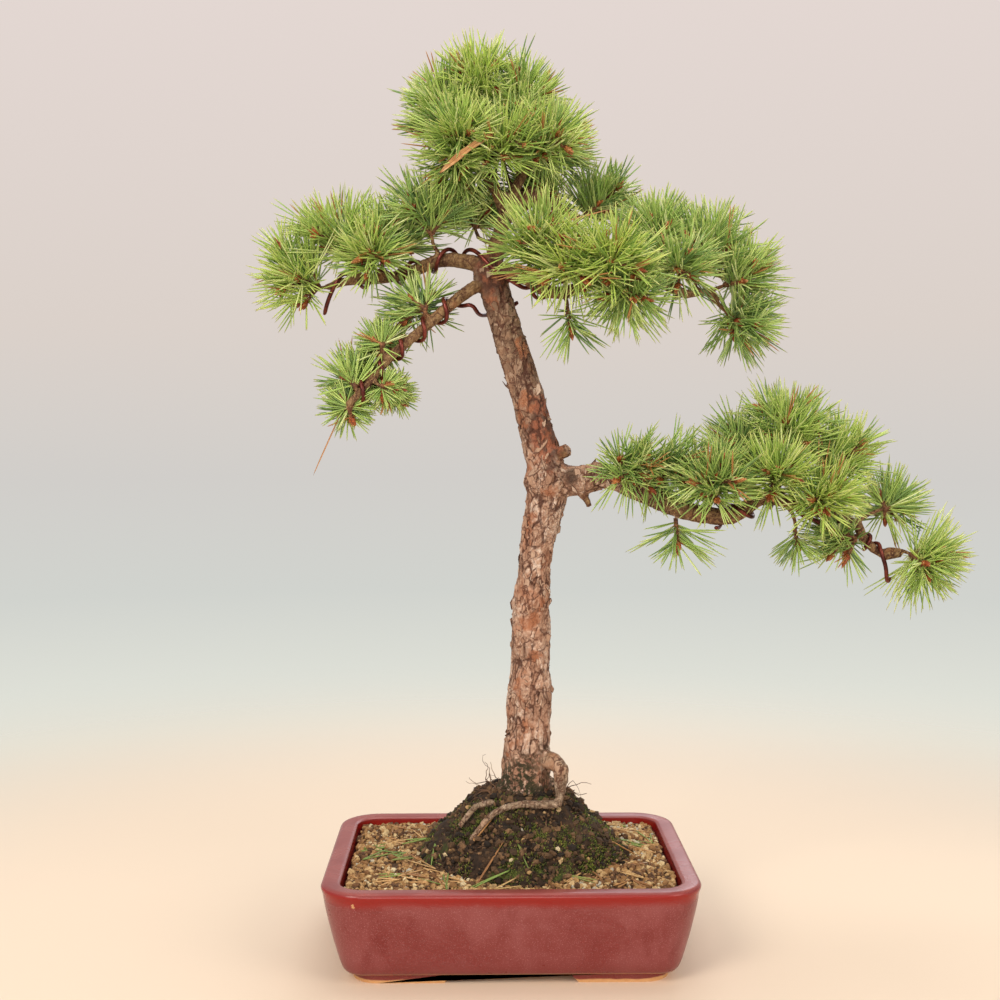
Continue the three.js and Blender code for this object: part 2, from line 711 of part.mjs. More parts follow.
// A tuft is a closed star with twelve points, longer along its lean than across it.
function tuftSolid({ tip, lean, long, wide }, spin, grow) {
  const geometry = new THREE.IcosahedronGeometry(1, 1);
  const places = geometry.attributes.position;
  const axis = vector(lean).normalize();
  const turn = new THREE.Quaternion().setFromUnitVectors(new THREE.Vector3(0, 0, 1), axis);
  const centre = aboveSoil(tip).addScaledVector(axis, tuftShape.middle * long);
  for (let i = 0; i < places.count; i += 1) {
    const spot = new THREE.Vector3().fromBufferAttribute(places, i);
    const isSpike = spikeDirections.some((direction) => direction.dot(spot) > 0.999);
    spot.multiplyScalar(isSpike ? 1 : tuftShape.valley).applyAxisAngle(new THREE.Vector3(0, 0, 1), spin);
    const [halfWidth, halfLength] = [wide / 2 + grow, tuftShape.half * long + grow];
    spot.set(spot.x * halfWidth, spot.y * halfWidth, spot.z * halfLength);
    spot.applyQuaternion(turn).add(centre);
    places.setXYZ(i, spot.x, spot.y, spot.z);
  }
  return solidOf(geometry);
}

function leafSolid(grow) {
  const from = aboveSoil(deadLeaf.from);
  const to = aboveSoil(deadLeaf.to);
  const along = to.clone().sub(from);
  const across = vector(deadLeaf.acrossIt).normalize();
  const outward = along.clone().normalize().cross(across).normalize();
  const geometry = new THREE.BoxGeometry(1, 1, 1, deadLeaf.steps, 2, 1);
  const places = geometry.attributes.position;
  for (let i = 0; i < places.count; i += 1) {
    const share = places.getX(i) + 0.5;
    const fullness = Math.sin(Math.PI * (0.04 + 0.92 * share)) ** 0.8; // blunt at both ends
    const halfWidth = (deadLeaf.width / 2) * fullness + grow;
    const edge = 2 * places.getY(i);
    const fold = deadLeaf.curl * (deadLeaf.cup * edge ** 2 - Math.sin(Math.PI * share));
    const spot = from.clone().addScaledVector(along, share);
    spot.addScaledVector(across, edge * halfWidth);
    spot.addScaledVector(outward, fold + places.getZ(i) * (deadLeaf.thickness + 2 * grow));
    places.setXYZ(i, spot.x, spot.y, spot.z);
  }
  return solidOf(geometry);
}

// ---------------------------------------------------------------- the assembly

const bonsai = new THREE.Group();

function addPart(name, solid, color, roughness, metalness = 0) {
  const material = new THREE.MeshStandardMaterial({ color, roughness, metalness });
  const part = new THREE.Mesh(geometryOf(solid), material);
  part.name = name;
  bonsai.add(part);
}

function addPot() {
  addPart('pot', pottery(), colours.glaze, 0.22);
  for (const [word, side] of [['left', -1], ['right', 1]]) {
    addPart(`drainage_mesh_${word}`, meshPlate(side, mesh.openings, 0), colours.plastic, 0.6);
    addPart(`mesh_clip_${word}`, clipWire(side, 0), colours.clipWire, 0.35, 1);
  }
}

function addGround(grownTree) {
  const drainage = [-1, 1].flatMap((side) => [meshPlate(side, 0, clearance), clipWire(side, clearance)]);
  const grit = without(soilSolid(), [moundSolid(clearance), ...drainage, ...grownTree]);
  const rootBall = without(moundSolid(0), [wallSpace(), ...grownTree]);
  addPart('soil', largestBody(grit), colours.grit, 0.95);
  addPart('root_mound', largestBody(rootBall), colours.moss, 0.95);
}

function addTree(grownWires) {
  const whole = treePieces(0).reduce((sum, piece) => sum.add(piece));
  addPart('tree', largestBody(without(whole, grownWires)), colours.bark, 0.9);
}

function addWires() {
  for (const [name, path] of Object.entries(wirePaths)) {
    addPart(name, wireSolid(path, 0), colours.wire, 0.35, 1);
  }
}

function addFoliage(obstacles) {
  const taken = [...obstacles];
  Object.entries(tufts).forEach(([name, tuft], index) => {
    const spin = index * 2.4; // no two neighbours turn alike
    const facesFront = tuft.lean[1] < -0.25;
    const colour = facesFront ? colours.brightNeedle : colours.needle;
    addPart(`tuft_${name}`, largestBody(without(tuftSolid(tuft, spin, 0), taken)), colour, 0.7);
    taken.push(tuftSolid(tuft, spin, 2 * clearance));
  });
}

function centreOnBase() {
  const box = new THREE.Box3().setFromObject(bonsai);
  const middle = box.getCenter(new THREE.Vector3());
  bonsai.position.set(-middle.x, -middle.y, -box.min.z);
}

const grownTree = treePieces(clearance);
const grownWires = Object.values(wirePaths).map((path) => wireSolid(path, clearance));
addPot();
addGround(grownTree);
addTree(grownWires);
addWires();
addPart('dead_leaf', leafSolid(0), colours.leaf, 0.8);
addFoliage([...grownTree, ...grownWires, leafSolid(clearance)]);
centreOnBase();

export default bonsai;
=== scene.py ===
# %% [markdown]
# # A pine bonsai, wired and in training
#
# The tree stands in a glazed pot. It is made here in the order in which a grower would meet it: the
# pot, what fills it, the wood, the wire on the wood, and last the needles. The first cell brings in
# the measured frame that everything has to fit, and keeps its overall size.

# %% Load the frame
import math
import random
from contextlib import contextmanager

import bmesh
import bpy
import numpy as np
from mathutils import Matrix, Vector, noise
from mathutils.bvhtree import BVHTree
from mathutils.kdtree import KDTree


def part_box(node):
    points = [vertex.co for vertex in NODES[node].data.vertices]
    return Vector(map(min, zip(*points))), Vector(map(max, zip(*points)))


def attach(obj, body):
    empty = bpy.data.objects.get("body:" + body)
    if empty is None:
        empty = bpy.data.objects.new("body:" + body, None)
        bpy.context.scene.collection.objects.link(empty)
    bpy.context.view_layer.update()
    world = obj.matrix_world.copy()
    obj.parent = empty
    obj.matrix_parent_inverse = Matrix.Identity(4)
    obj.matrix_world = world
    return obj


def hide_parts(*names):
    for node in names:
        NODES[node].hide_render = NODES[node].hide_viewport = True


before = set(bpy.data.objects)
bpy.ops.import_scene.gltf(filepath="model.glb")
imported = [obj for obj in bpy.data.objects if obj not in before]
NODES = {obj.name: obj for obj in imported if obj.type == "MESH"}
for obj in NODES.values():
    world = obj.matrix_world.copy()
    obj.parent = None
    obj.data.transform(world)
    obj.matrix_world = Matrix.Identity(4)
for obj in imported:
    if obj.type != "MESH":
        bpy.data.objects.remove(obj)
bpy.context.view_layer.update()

MM = 0.001
UP = Vector((0, 0, 1))
POT_LOW, POT_HIGH = (Vector(corner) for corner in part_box("pot"))
POT_FOOT = Vector(((POT_LOW.x + POT_HIGH.x) / 2, (POT_LOW.y + POT_HIGH.y) / 2, POT_LOW.z))
print("the frame has", len(NODES), "nodes, and the rim is at", round(POT_HIGH.z / MM, 1), "mm")

# %% [markdown]
# ## Where the viewer stands
#
# The tree is looked at from its front, a metre away and a little above the rim of the pot, so that
# the soil shows. A lens of about 50 mm keeps the trunk upright and the pot's sides true. The camera's
# place is counted from the middle of the pot's foot.

# %% Camera
LENS, FILM = 50.74, 36.0  # millimetres
VIEWPOINT = Vector((-22.6, -1018.8, 377.8)) * MM  # from the middle of the pot's foot
LOOKS_DOWN, LOOKS_RIGHT = 2.99, 0.897  # degrees


def put(name, data):
    """An object in the scene that shows the data."""
    made = bpy.data.objects.new(name, data)
    bpy.context.collection.objects.link(made)
    return made


camera = put("camera", bpy.data.cameras.new("camera"))
camera.data.lens, camera.data.sensor_width = LENS, FILM
camera.location = POT_FOOT + VIEWPOINT
camera.rotation_euler = (math.radians(90 - LOOKS_DOWN), 0, -math.radians(LOOKS_RIGHT))
bpy.context.scene.camera = camera
print("camera at", [round(n, 3) for n in camera.location])

# %% [markdown]
# ## A few words for shading
#
# Every finish below is a small tree of shader nodes. Making and joining nodes takes many lines, so
# these short helpers do it: one adds a node and fills its sockets, and the others name the patterns
# that natural surfaces need, such as grain, cells, a blend and a bump.

# %% Shader helpers
def colour(code):
    """An opaque colour from a hex code such as c8a58c."""
    parts = [int(code[i : i + 2], 16) / 255 for i in (0, 2, 4)]
    return (*[c / 12.92 if c <= 0.04045 else ((c + 0.055) / 1.055) ** 2.4 for c in parts], 1)


def add(material, kind, inputs=None, **settings):
    """Adds a shader node; inputs maps a socket's name or number to a value or another socket."""
    made = material.node_tree.nodes.new("ShaderNode" + kind)
    for key, value in settings.items():
        setattr(made, key, value)
    for key, value in (inputs or {}).items():
        if isinstance(value, bpy.types.NodeSocket):
            material.node_tree.links.new(value, made.inputs[key])
        else:
            made.inputs[key].default_value = value
    return made


def places(material, scale=(1, 1, 1), turn=(0, 0, 0)):
    """Object coordinates, stretched and turned."""
    source = add(material, "TexCoord").outputs["Object"]
    return add(material, "Mapping", {"Vector": source, "Scale": scale, "Rotation": turn}).outputs[0]


def grain(material, where, scale, detail=3, distortion=0.0):
    """Cloudy noise; a higher scale is finer."""
    sockets = {"Vector": where, "Scale": scale, "Detail": detail}
    sockets |= {"Roughness": 0.55, "Distortion": distortion}
    return add(material, "TexNoise", sockets).outputs["Fac"]


def cells(material, where, scale, feature="F1", output="Distance"):
    return add(material, "TexVoronoi", {"Vector": where, "Scale": scale}, feature=feature).outputs[output]


def between(material, value, low, high, to_low=0.0, to_high=1.0, curve="SMOOTHSTEP"):
    """Spreads value from low..high over to_low..to_high, without passing the ends."""
    sockets = {"Value": value, 1: low, 2: high, 3: to_low, 4: to_high}
    return add(material, "MapRange", sockets, interpolation_type=curve).outputs[0]


def blend(material, factor, first, second, blend_type="MIX"):
    sockets = {0: factor, 6: first, 7: second}
    return add(material, "Mix", sockets, data_type="RGBA", blend_type=blend_type).outputs[2]


def sums(material, operation, first, second=0.0):
    return add(material, "Math", {0: first, 1: second}, operation=operation).outputs[0]


def times(material, first, second):
    return sums(material, "MULTIPLY", first, second)


def axis_of(material, vector, axis):
    return add(material, "SeparateXYZ", {0: vector}).outputs[axis]


print("ready to draw patterns")

# %% Making a finish
def new_finish(name, roughness, **shader):
    """A material and its shader node; the keywords are socket names with _ for a space."""
    material = bpy.data.materials.new(name)
    material.use_nodes = True
    surface = material.node_tree.nodes["Principled BSDF"]
    surface.inputs["Roughness"].default_value = roughness
    for socket, value in shader.items():
        surface.inputs[socket.replace("_", " ")].default_value = value
    return material, surface


def wear(material, surface, base=None, rough=None, height=None, depth=0.0, strength=1.0):
    """Joins a colour, a roughness and a relief of so many metres to the shader."""
    join = material.node_tree.links.new
    if base is not None:
        join(base, surface.inputs["Base Color"])
    if rough is not None:
        join(rough, surface.inputs["Roughness"])
    if height is not None:
        bump = add(material, "Bump", {"Height": height, "Distance": depth, "Strength": strength})
        join(bump.outputs[0], surface.inputs["Normal"])
    return material


print("ready to make finishes")

# %% [markdown]
# ## Light, floor and backdrop
#
# Plants are lit softly from all round, or the needles turn to black and white. Wide lamps stand
# in front, overhead and behind, and a pale sky fills the shadows. The floor is a big disc that thins out
# towards its edge, so no line shows where it meets the sky, from whichever side it is looked at.

# %% Floor
def faded_floor(radius):
    bm = bmesh.new()
    bmesh.ops.create_circle(bm, cap_ends=True, segments=64, radius=radius)
    floor = put("floor", mesh_from(bm, "floor", floor_finish()))
    floor.location = POT_FOOT


def floor_finish():
    """Pale stone near the pot, nothing at all at the edge."""
    material, surface = new_finish("pale_floor", 0.85)
    away = add(material, "VectorMath", {0: places(material)}, operation="LENGTH").outputs["Value"]
    tint = blend(material, between(material, away, 0.3, 1.6), colour("e6d2bc"), colour("dadad2"))
    wear(material, surface, base=tint)
    clear = add(material, "BsdfTransparent")
    faded = between(material, away, 0.4, 1.25)
    join = add(material, "MixShader", {0: faded, 1: surface.outputs[0], 2: clear.outputs[0]})
    tree = material.node_tree
    tree.links.new(join.outputs[0], tree.nodes["Material Output"].inputs["Surface"])
    return material


def mesh_from(bm, name, *materials):
    """Turns a finished bmesh into a mesh that wears these materials."""
    mesh = bpy.data.meshes.new(name)
    bm.to_mesh(mesh)
    bm.free()
    for material in materials:
        mesh.materials.append(material)
    return mesh


faded_floor(2.4)
print("floor laid at", round(POT_FOOT.z, 4))


# %% Lamps
TREE_MIDDLE = POT_FOOT + Vector((0.03, 0, 0.3))


def lamp(name, place, width, power, tint):
    """A round lamp that shines on the middle of the tree."""
    made = put(name, bpy.data.lights.new(name, "AREA"))
    made.data.shape = "DISK"
    made.data.size = width
    made.data.energy = power
    made.data.color = colour(tint)[:3]
    made.location = POT_FOOT + Vector(place)
    made.rotation_euler = (TREE_MIDDLE - made.location).to_track_quat("-Z", "Y").to_euler()


lamp("lamp_left", (-1.1, -1.5, 1.5), 1.0, 25, "fff6ea")
lamp("lamp_right", (1.3, -1.1, 1.0), 1.1, 10.5, "fff3e6")
lamp("lamp_top", (0.1, 0.3, 1.9), 1.2, 12, "ffffff")
lamp("lamp_front", (-0.1, -1.9, 0.75), 0.9, 8, "fffaf2")
lamp("lamp_back", (0.5, 1.6, 1.1), 1.0, 6, "f2f6ff")
print("five lamps")

# %% Sky
SKY_BANDS = [  # from just below the horizon up
    (0.0, "fbe7cf"), (0.234, "e5e6db"), (0.383, "d1d3ce"),
    (0.508, "d1ceca"), (0.669, "dbd1ca"), (1.0, "e3d7d2"),
]


def toned(material, value, stops):
    """A colour picked along a row of tones."""
    ramp = add(material, "ValToRGB", {0: value})
    ends = ramp.color_ramp.elements
    for place, code in stops[1:-1]:
        ends.new(place).color = colour(code)
    ends[0].position, ends[-1].position = stops[0][0], stops[-1][0]
    ends[0].color, ends[-1].color = colour(stops[0][1]), colour(stops[-1][1])
    return ramp.outputs[0]


def pale_sky():
    world = bpy.data.worlds.new("pale_sky")
    world.use_nodes = True
    bpy.context.scene.world = world
    tree = world.node_tree
    tree.nodes.clear()
    way = add(world, "TexCoord").outputs["Generated"]
    climb = between(world, axis_of(world, way, 2), -0.36, 0.28, curve="LINEAR")
    seen = add(world, "Background", {0: toned(world, climb, SKY_BANDS), 1: 1.0})
    lit = add(world, "Background", {0: colour("f4f1ee"), 1: 0.6})
    eye = add(world, "LightPath").outputs["Is Camera Ray"]
    both = add(world, "MixShader", {0: eye, 1: lit.outputs[0], 2: seen.outputs[0]})
    out = add(world, "OutputWorld")
    tree.links.new(both.outputs[0], out.inputs[0])


pale_sky()
bpy.context.scene.view_settings.view_transform = "Standard"
print("a sky of", len(SKY_BANDS), "tones")


# %% [markdown]
# ## Words for shaping
#
# Two kinds of shape come up again and again. One starts from a solid of the frame, which is copied,
# welded and given an even skin that can carry bark or moss. The other is a heap of small things, such
# as grains or needles: one small shape is made once, and copies of it are turned, bent and dropped
# into a single mesh. Each copy keeps a number of its own for its tone, and a square of its own on the
# piece's map, so that no two look the same.

# %% Piece helpers
def new_piece(name, mesh, replaces=()):
    """Turns a mesh into a piece of the object."""
    piece = put(name, mesh)
    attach(piece, "root")
    if replaces:
        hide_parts(*replaces)
    return piece


def settled(piece):
    """Applies the piece's modifiers."""
    made = bpy.data.meshes.new_from_object(piece.evaluated_get(bpy.context.evaluated_depsgraph_get()))
    piece.modifiers.clear()
    piece.data = made
    return piece


def welded_copy(node, name):
    """A copy of a frame solid's mesh with its loose triangles joined."""
    bm = bmesh.new()
    bm.from_mesh(NODES[node].data)
    bmesh.ops.remove_doubles(bm, verts=bm.verts, dist=2e-6)
    return mesh_from(bm, name)


@contextmanager
def opened(mesh):
    """A bmesh of the mesh, written back when the work on it is done."""
    bm = bmesh.new()
    bm.from_mesh(mesh)
    yield bm
    bm.to_mesh(mesh)
    bm.free()


def coat(mesh, material):
    """Takes off whatever the mesh wears and gives it this finish."""
    mesh.materials.clear()
    mesh.materials.append(material)


def even_skin(piece, size):
    """Rebuilds the piece's surface from small even faces."""
    remesh = piece.modifiers.new("even_skin", "REMESH")
    remesh.mode = "VOXEL"
    remesh.voxel_size = size
    return settled(piece)


print("ready to shape pieces")

# %% Reading and moving vertices
def vertex_rows(mesh):
    """Places and normals of a mesh's vertices, as two tables."""
    spots = np.empty(len(mesh.vertices) * 3, np.float32)
    mesh.vertices.foreach_get("co", spots)
    normals = np.empty(len(mesh.vertices) * 3, np.float32)
    mesh.vertex_normals.foreach_get("vector", normals)
    return spots.reshape(-1, 3), normals.reshape(-1, 3)


def move_vertices(mesh, spots):
    mesh.vertices.foreach_set("co", spots.astype(np.float32).ravel())
    mesh.update()


def paint_vertices(mesh, name, table):
    """Stores four numbers per vertex where a material can read them."""
    layer = mesh.attributes.new(name, "FLOAT_COLOR", "POINT")
    layer.data.foreach_set("color", table.astype(np.float32).ravel())


def smoothly(mesh, degrees=180):
    mesh.shade_smooth()
    if degrees < 180:
        mesh.set_sharp_from_angle(angle=math.radians(degrees))


def held(value, low=0.0, high=1.0):
    return min(max(value, low), high)


def skin_of(*nodes):
    """The frame solids' surface, for dropping things on."""
    bm = bmesh.new()
    for node in nodes:
        bm.from_mesh(NODES[node].data)
    tree = BVHTree.FromBMesh(bm)
    bm.free()
    return tree


print("ready to read and move vertices")

# %% Heaps of small shapes
MAP_GAP = 0.04  # free edge of each copy's square on the map


class Shape:
    """A small shape of unit size that is copied many times."""

    def __init__(self, bm, material=0):
        self.mesh = bpy.data.meshes.new("shape")
        for face in bm.faces:
            face.material_index = material
            face.smooth = True
        bm.to_mesh(self.mesh)
        bm.free()
        self.spots = np.array([v.co for v in self.mesh.vertices])
        self.faces = len(self.mesh.polygons)


class Heap:
    """Copies of shapes in one mesh."""

    def __init__(self):
        self.bm = bmesh.new()
        self.items = []

    def drop(self, shape, matrix, tone=0.5, extra=0.5, bend=0.0):
        """Adds a copy of the shape, with two numbers of its own and a bend towards its x."""
        spots = shape.spots
        if bend:
            spots = spots.copy()
            spots[:, 0] += bend * spots[:, 2] ** 2
        matrix = np.array(matrix)
        placed = spots @ matrix[:3, :3].T + matrix[:3, 3]
        shape.mesh.vertices.foreach_set("co", placed.astype(np.float32).ravel())
        self.bm.from_mesh(shape.mesh)
        self.items.append((shape.faces, len(spots), tone, extra))

    def mesh(self, name, *materials):
        """The heap as a mesh with the attribute "item" (tone, extra, height in the copy) and a map."""
        mesh = mesh_from(self.bm, name, *materials)
        items = np.array(self.items)
        of_vertex = np.repeat(np.arange(len(items)), items[:, 1].astype(int))
        layer = mesh.uv_layers["OFBake"]
        corners = np.empty(len(mesh.loops) * 2, np.float32)
        layer.data.foreach_get("uv", corners)
        corners = corners.reshape(-1, 2)
        ends = np.empty(len(mesh.loops), np.int32)
        mesh.loops.foreach_get("vertex_index", ends)
        owner = of_vertex[ends]
        along = np.zeros(len(mesh.vertices))
        along[ends] = corners[:, 1]
        table = np.stack([items[of_vertex, 2], items[of_vertex, 3], along, np.ones(len(along))], axis=1)
        paint_vertices(mesh, "item", table)
        across = math.ceil(math.sqrt(len(items)))
        square = np.stack([owner % across, owner // across], axis=1)
        spread = (square + MAP_GAP + (1 - 2 * MAP_GAP) * corners) / across
        layer.data.foreach_set("uv", spread.astype(np.float32).ravel())
        return mesh


print("ready to heap small shapes")

# %% Bars and stones to heap
def tube_shape(sides, rings, material=0):
    """A closed bar of unit height. rings are (height, radius), and the last may be a point."""
    bm = bmesh.new()
    first = bmesh.ops.create_circle(bm, cap_ends=True, segments=sides, radius=rings[0][1])["verts"]
    bmesh.ops.translate(bm, verts=first, vec=(0, 0, rings[0][0]))
    top = bm.faces[:]
    for (low, old), (high, new) in zip(rings, rings[1:]):
        made = bmesh.ops.extrude_face_region(bm, geom=top)["geom"]
        if low > rings[0][0]:
            bmesh.ops.delete(bm, geom=top, context="FACES_ONLY")
        ring = [part for part in made if isinstance(part, bmesh.types.BMVert)]
        top = [part for part in made if isinstance(part, bmesh.types.BMFace)]
        middle = Matrix.Translation((0, 0, low))
        bmesh.ops.scale(bm, verts=ring, vec=(max(new, 1e-4) / old,) * 2 + (1,), space=middle.inverted())
        bmesh.ops.translate(bm, verts=ring, vec=(0, 0, high - low))
    bmesh.ops.remove_doubles(bm, verts=bm.verts, dist=2e-4)
    bmesh.ops.recalc_face_normals(bm, faces=bm.faces)
    unroll(bm, sides)
    return Shape(bm, material)


def unroll(bm, sides):
    """Maps a standing tube flat, one strip per side."""
    layer = bm.loops.layers.uv.new("OFBake")
    for face in bm.faces:
        middle = face.calc_center_median()
        turn = math.atan2(middle.y, middle.x) / math.tau % 1
        strip = int(turn * sides) % sides
        for loop in face.loops:
            spot = loop.vert.co
            aside = (math.atan2(spot.y, spot.x) / math.tau - turn + 0.5) % 1 - 0.5
            if abs(aside) > 0.4 or abs(face.normal.z) > 0.95:
                aside = 0.0
            u = (strip + 0.5 + held(aside * sides * 0.9, -0.45, 0.45)) / sides
            loop[layer].uv = (u, held(spot.z))


def aimed(at, way, length, width, spin=0.0, depth=None):
    """A matrix that stands a unit shape at a point, along a direction, at this size."""
    turn = Vector(way).to_track_quat("Z", "Y").to_matrix().to_4x4()
    size = Matrix.Diagonal((width, depth or width, length, 1))
    return Matrix.Translation(at) @ turn @ Matrix.Rotation(spin, 4, "Z") @ size


def tumble(draw):
    """A turn to any side."""
    return Matrix.Rotation(draw.uniform(0, math.tau), 4, (draw.uniform(-1, 1), draw.uniform(-1, 1), 1))


def stone_shapes(seed, count, rough=0.25):
    """Small angular stones, no two the same."""
    draw = random.Random(seed)
    made = []
    for _ in range(count):
        bm = bmesh.new()
        bmesh.ops.create_icosphere(bm, subdivisions=1, radius=1)
        for vertex in bm.verts:
            vertex.co *= draw.uniform(1 - rough, 1 + rough)
        layer = bm.loops.layers.uv.new("OFBake")
        for face in bm.faces:
            middle = face.calc_center_median()
            shift = 0.26 if middle.z > 0 else 0.74
            for loop in face.loops:
                spot = middle.lerp(loop.vert.co, 0.95)
                loop[layer].uv = (shift + 0.2 * spot.x, 0.5 + 0.36 * spot.y)
        shape = Shape(bm)
        shape.mesh.shade_flat()
        made.append(shape)
    return made


print("ready to make bars and stones")

# %% [markdown]
# ## The pot
#
# The pot is a shallow rectangle with rounded corners, thrown in stoneware and dipped in an oxblood
# glaze. It could be carved out of a block, but its wall has the same round corners at every height, so
# it is grown from one rounded face instead: the face is inset and moved again and again, down the
# outside to the heel, and from the lip down the inside to the floor. Four feet are cut from a ring
# and fused on, and two drain holes are cut through the floor.

# %% Pot body
POT_WIDTH, POT_DEPTH = (POT_HIGH - POT_LOW).xy
POT_HEIGHT = POT_HIGH.z - POT_LOW.z
RIM_Z = POT_HIGH.z
LIP = 2.6 * MM  # from the pot's widest line up to its rim
CORNER, CORNER_STEPS = 30 * MM, 10
SPLIT = 0.2  # between the two faces that the wall grows from, in millimetres

# (height, inset) in millimetres, outside from the lip down and inside from the lip to the floor
OUTSIDE = [
    (64.5, 0.12), (63.2, 0.5), (61.5, 1.15), (59.5, 1.6), (56, 2.1), (50, 3.2), (42, 5.0),
    (32, 7.5), (22, 10.3), (15, 12.4), (11.5, 13.7), (9.2, 14.9), (7.6, 16.4), (6.6, 18.6),
]
INSIDE = [
    (66.6, 0.5), (67.5, 1.3), (68.0, 2.6), (68.0, 4.5), (67.8, 10.6), (67.5, 12.2), (66.6, 13.1),
    (64, 13.4), (50, 15.2), (30, 18.9), (18, 21.4), (15.2, 22.6), (14.5, 25),
]


def rounded_face(inset, z, radius, steps):
    """A bmesh holding one flat rectangle with round corners."""
    bm = bmesh.new()
    bmesh.ops.create_grid(bm, x_segments=1, y_segments=1, size=0.5)
    width, depth = POT_WIDTH - 2 * inset, POT_DEPTH - 2 * inset
    bmesh.ops.scale(bm, verts=bm.verts, vec=(width, depth, 1))
    corners = {"offset": radius, "offset_type": "OFFSET", "segments": steps, "profile": 0.5}
    bmesh.ops.bevel(bm, geom=bm.verts[:], affect="VERTICES", material=-1, **corners)
    bmesh.ops.translate(bm, verts=bm.verts, vec=POT_FOOT + UP * z)
    return bm


def walk(bm, face, steps, start):
    """Insets and moves the face from one (height, inset) to the next."""
    height, inset = start
    for next_height, next_inset in steps:
        away = (next_height - height) * MM * (1 if face.normal.z > 0 else -1)
        bmesh.ops.inset_region(
            bm, faces=[face], thickness=(next_inset - inset) * MM, depth=away, use_even_offset=True
        )
        height, inset = next_height, next_inset


def pot_body():
    """The pot without feet: two faces back to back, walked down the outside and down the inside."""
    lip = POT_HEIGHT - LIP
    bm = rounded_face(0, lip, CORNER, CORNER_STEPS)
    bmesh.ops.extrude_face_region(bm, geom=bm.faces[:])
    low, high = [face for face in bm.faces if len(face.verts) > 4]
    bmesh.ops.translate(bm, verts=high.verts[:], vec=UP * SPLIT * MM)
    bmesh.ops.recalc_face_normals(bm, faces=bm.faces)
    walk(bm, low, OUTSIDE, (lip / MM, 0))
    walk(bm, high, INSIDE, (lip / MM + SPLIT, 0))
    return mesh_from(bm, "pot_body")


body_mesh = pot_body()
print("pot without feet:", len(body_mesh.polygons), "faces")

# %% Feet and drain holes
FOOT_HEIGHT, FOOT_WIDE = 6.5 * MM, 16 * MM
FEET_INSET, FEET_CORNER = 21 * MM, 18 * MM
FOOT_ALONG, FOOT_ACROSS = 66 * MM, 50 * MM  # how far a foot reaches from its corner
FUSED = 1.2 * MM  # how far the feet go up into the pot
DRAIN_RADIUS, DRAIN_AWAY = 14 * MM, 60 * MM


def foot_ring():
    bm = rounded_face(FEET_INSET, 0, FEET_CORNER, 6)
    bmesh.ops.inset_region(
        bm, faces=bm.faces[:], thickness=FOOT_WIDE, use_boundary=True, use_even_offset=True
    )
    inner = min(bm.faces, key=lambda face: (face.calc_center_median() - POT_FOOT).length)
    bmesh.ops.delete(bm, geom=[inner], context="FACES")
    ring = bmesh.ops.extrude_face_region(bm, geom=bm.faces[:])["geom"]
    top = [part for part in ring if isinstance(part, bmesh.types.BMVert)]
    bmesh.ops.translate(bm, verts=top, vec=UP * (FOOT_HEIGHT + FUSED))
    bmesh.ops.recalc_face_normals(bm, faces=bm.faces)
    return mesh_from(bm, "foot_ring")


def slanted_block(length, across, along_x):
    """What is cut away between two feet; it is shorter at its top."""
    bm = bmesh.new()
    bmesh.ops.create_cube(bm, size=1)
    for vertex in bm.verts:
        low = vertex.co.z < 0
        vertex.co.x *= length + (8 if low else -8) * MM
        vertex.co.y *= across
        vertex.co.z = -1 * MM if low else FOOT_HEIGHT + 0.05 * MM
    if not along_x:
        bmesh.ops.rotate(bm, verts=bm.verts, matrix=Matrix.Rotation(math.pi / 2, 3, "Z"))
    bmesh.ops.translate(bm, verts=bm.verts, vec=POT_FOOT)
    return mesh_from(bm, "gap")


def drain_hole(side):
    bm = bmesh.new()
    ends = {"radius1": DRAIN_RADIUS, "radius2": DRAIN_RADIUS}
    bmesh.ops.create_cone(bm, cap_ends=True, segments=40, depth=30 * MM, **ends)
    bmesh.ops.translate(bm, verts=bm.verts, vec=POT_FOOT + Vector((side * DRAIN_AWAY, 0, 10 * MM)))
    return mesh_from(bm, "hole")


print("feet", round(FOOT_HEIGHT / MM, 1), "mm high")

# %% Join the pot
def join_solid(piece, tool_mesh, operation):
    """Adds a tool's solid to a piece or cuts it away."""
    tool = put("tool", tool_mesh)
    cut = piece.modifiers.new("cut", "BOOLEAN")
    cut.operation, cut.solver, cut.object = operation, "MANIFOLD", tool
    settled(piece)
    bpy.data.objects.remove(tool)


def four_feet():
    feet = put("feet", foot_ring())
    gap_x = POT_WIDTH - 2 * (FEET_INSET + FOOT_ALONG)
    gap_y = POT_DEPTH - 2 * (FEET_INSET + FOOT_ACROSS)
    join_solid(feet, slanted_block(gap_x, POT_DEPTH * 1.2, True), "DIFFERENCE")
    join_solid(feet, slanted_block(gap_y, POT_WIDTH * 1.2, False), "DIFFERENCE")
    return feet


def soften_underside(mesh):
    """Rounds the hard edges of the feet and the drain holes a little, as glaze and wear do."""
    with opened(mesh) as bm:
        low = [e for e in bm.edges if e.is_manifold and max(v.co.z for v in e.verts) < 15 * MM]
        hard = [edge for edge in low if edge.calc_face_angle() > 0.6]
        soft = {"offset": 0.7 * MM, "offset_type": "OFFSET", "segments": 2, "profile": 0.5}
        bmesh.ops.bevel(bm, geom=hard, affect="EDGES", material=-1, clamp_overlap=True, **soft)
        bmesh.ops.remove_doubles(bm, verts=bm.verts, dist=1e-5)
        bmesh.ops.triangulate(bm, faces=[face for face in bm.faces if len(face.verts) > 4])


def fire_pot():
    feet = four_feet()
    pot = new_piece("glazed_pot", body_mesh, ["pot"])
    join_solid(pot, feet.data, "UNION")
    bpy.data.objects.remove(feet)
    for side in (-1, 1):
        join_solid(pot, drain_hole(side), "DIFFERENCE")
    soften_underside(pot.data)
    smoothly(pot.data, 38)
    return pot


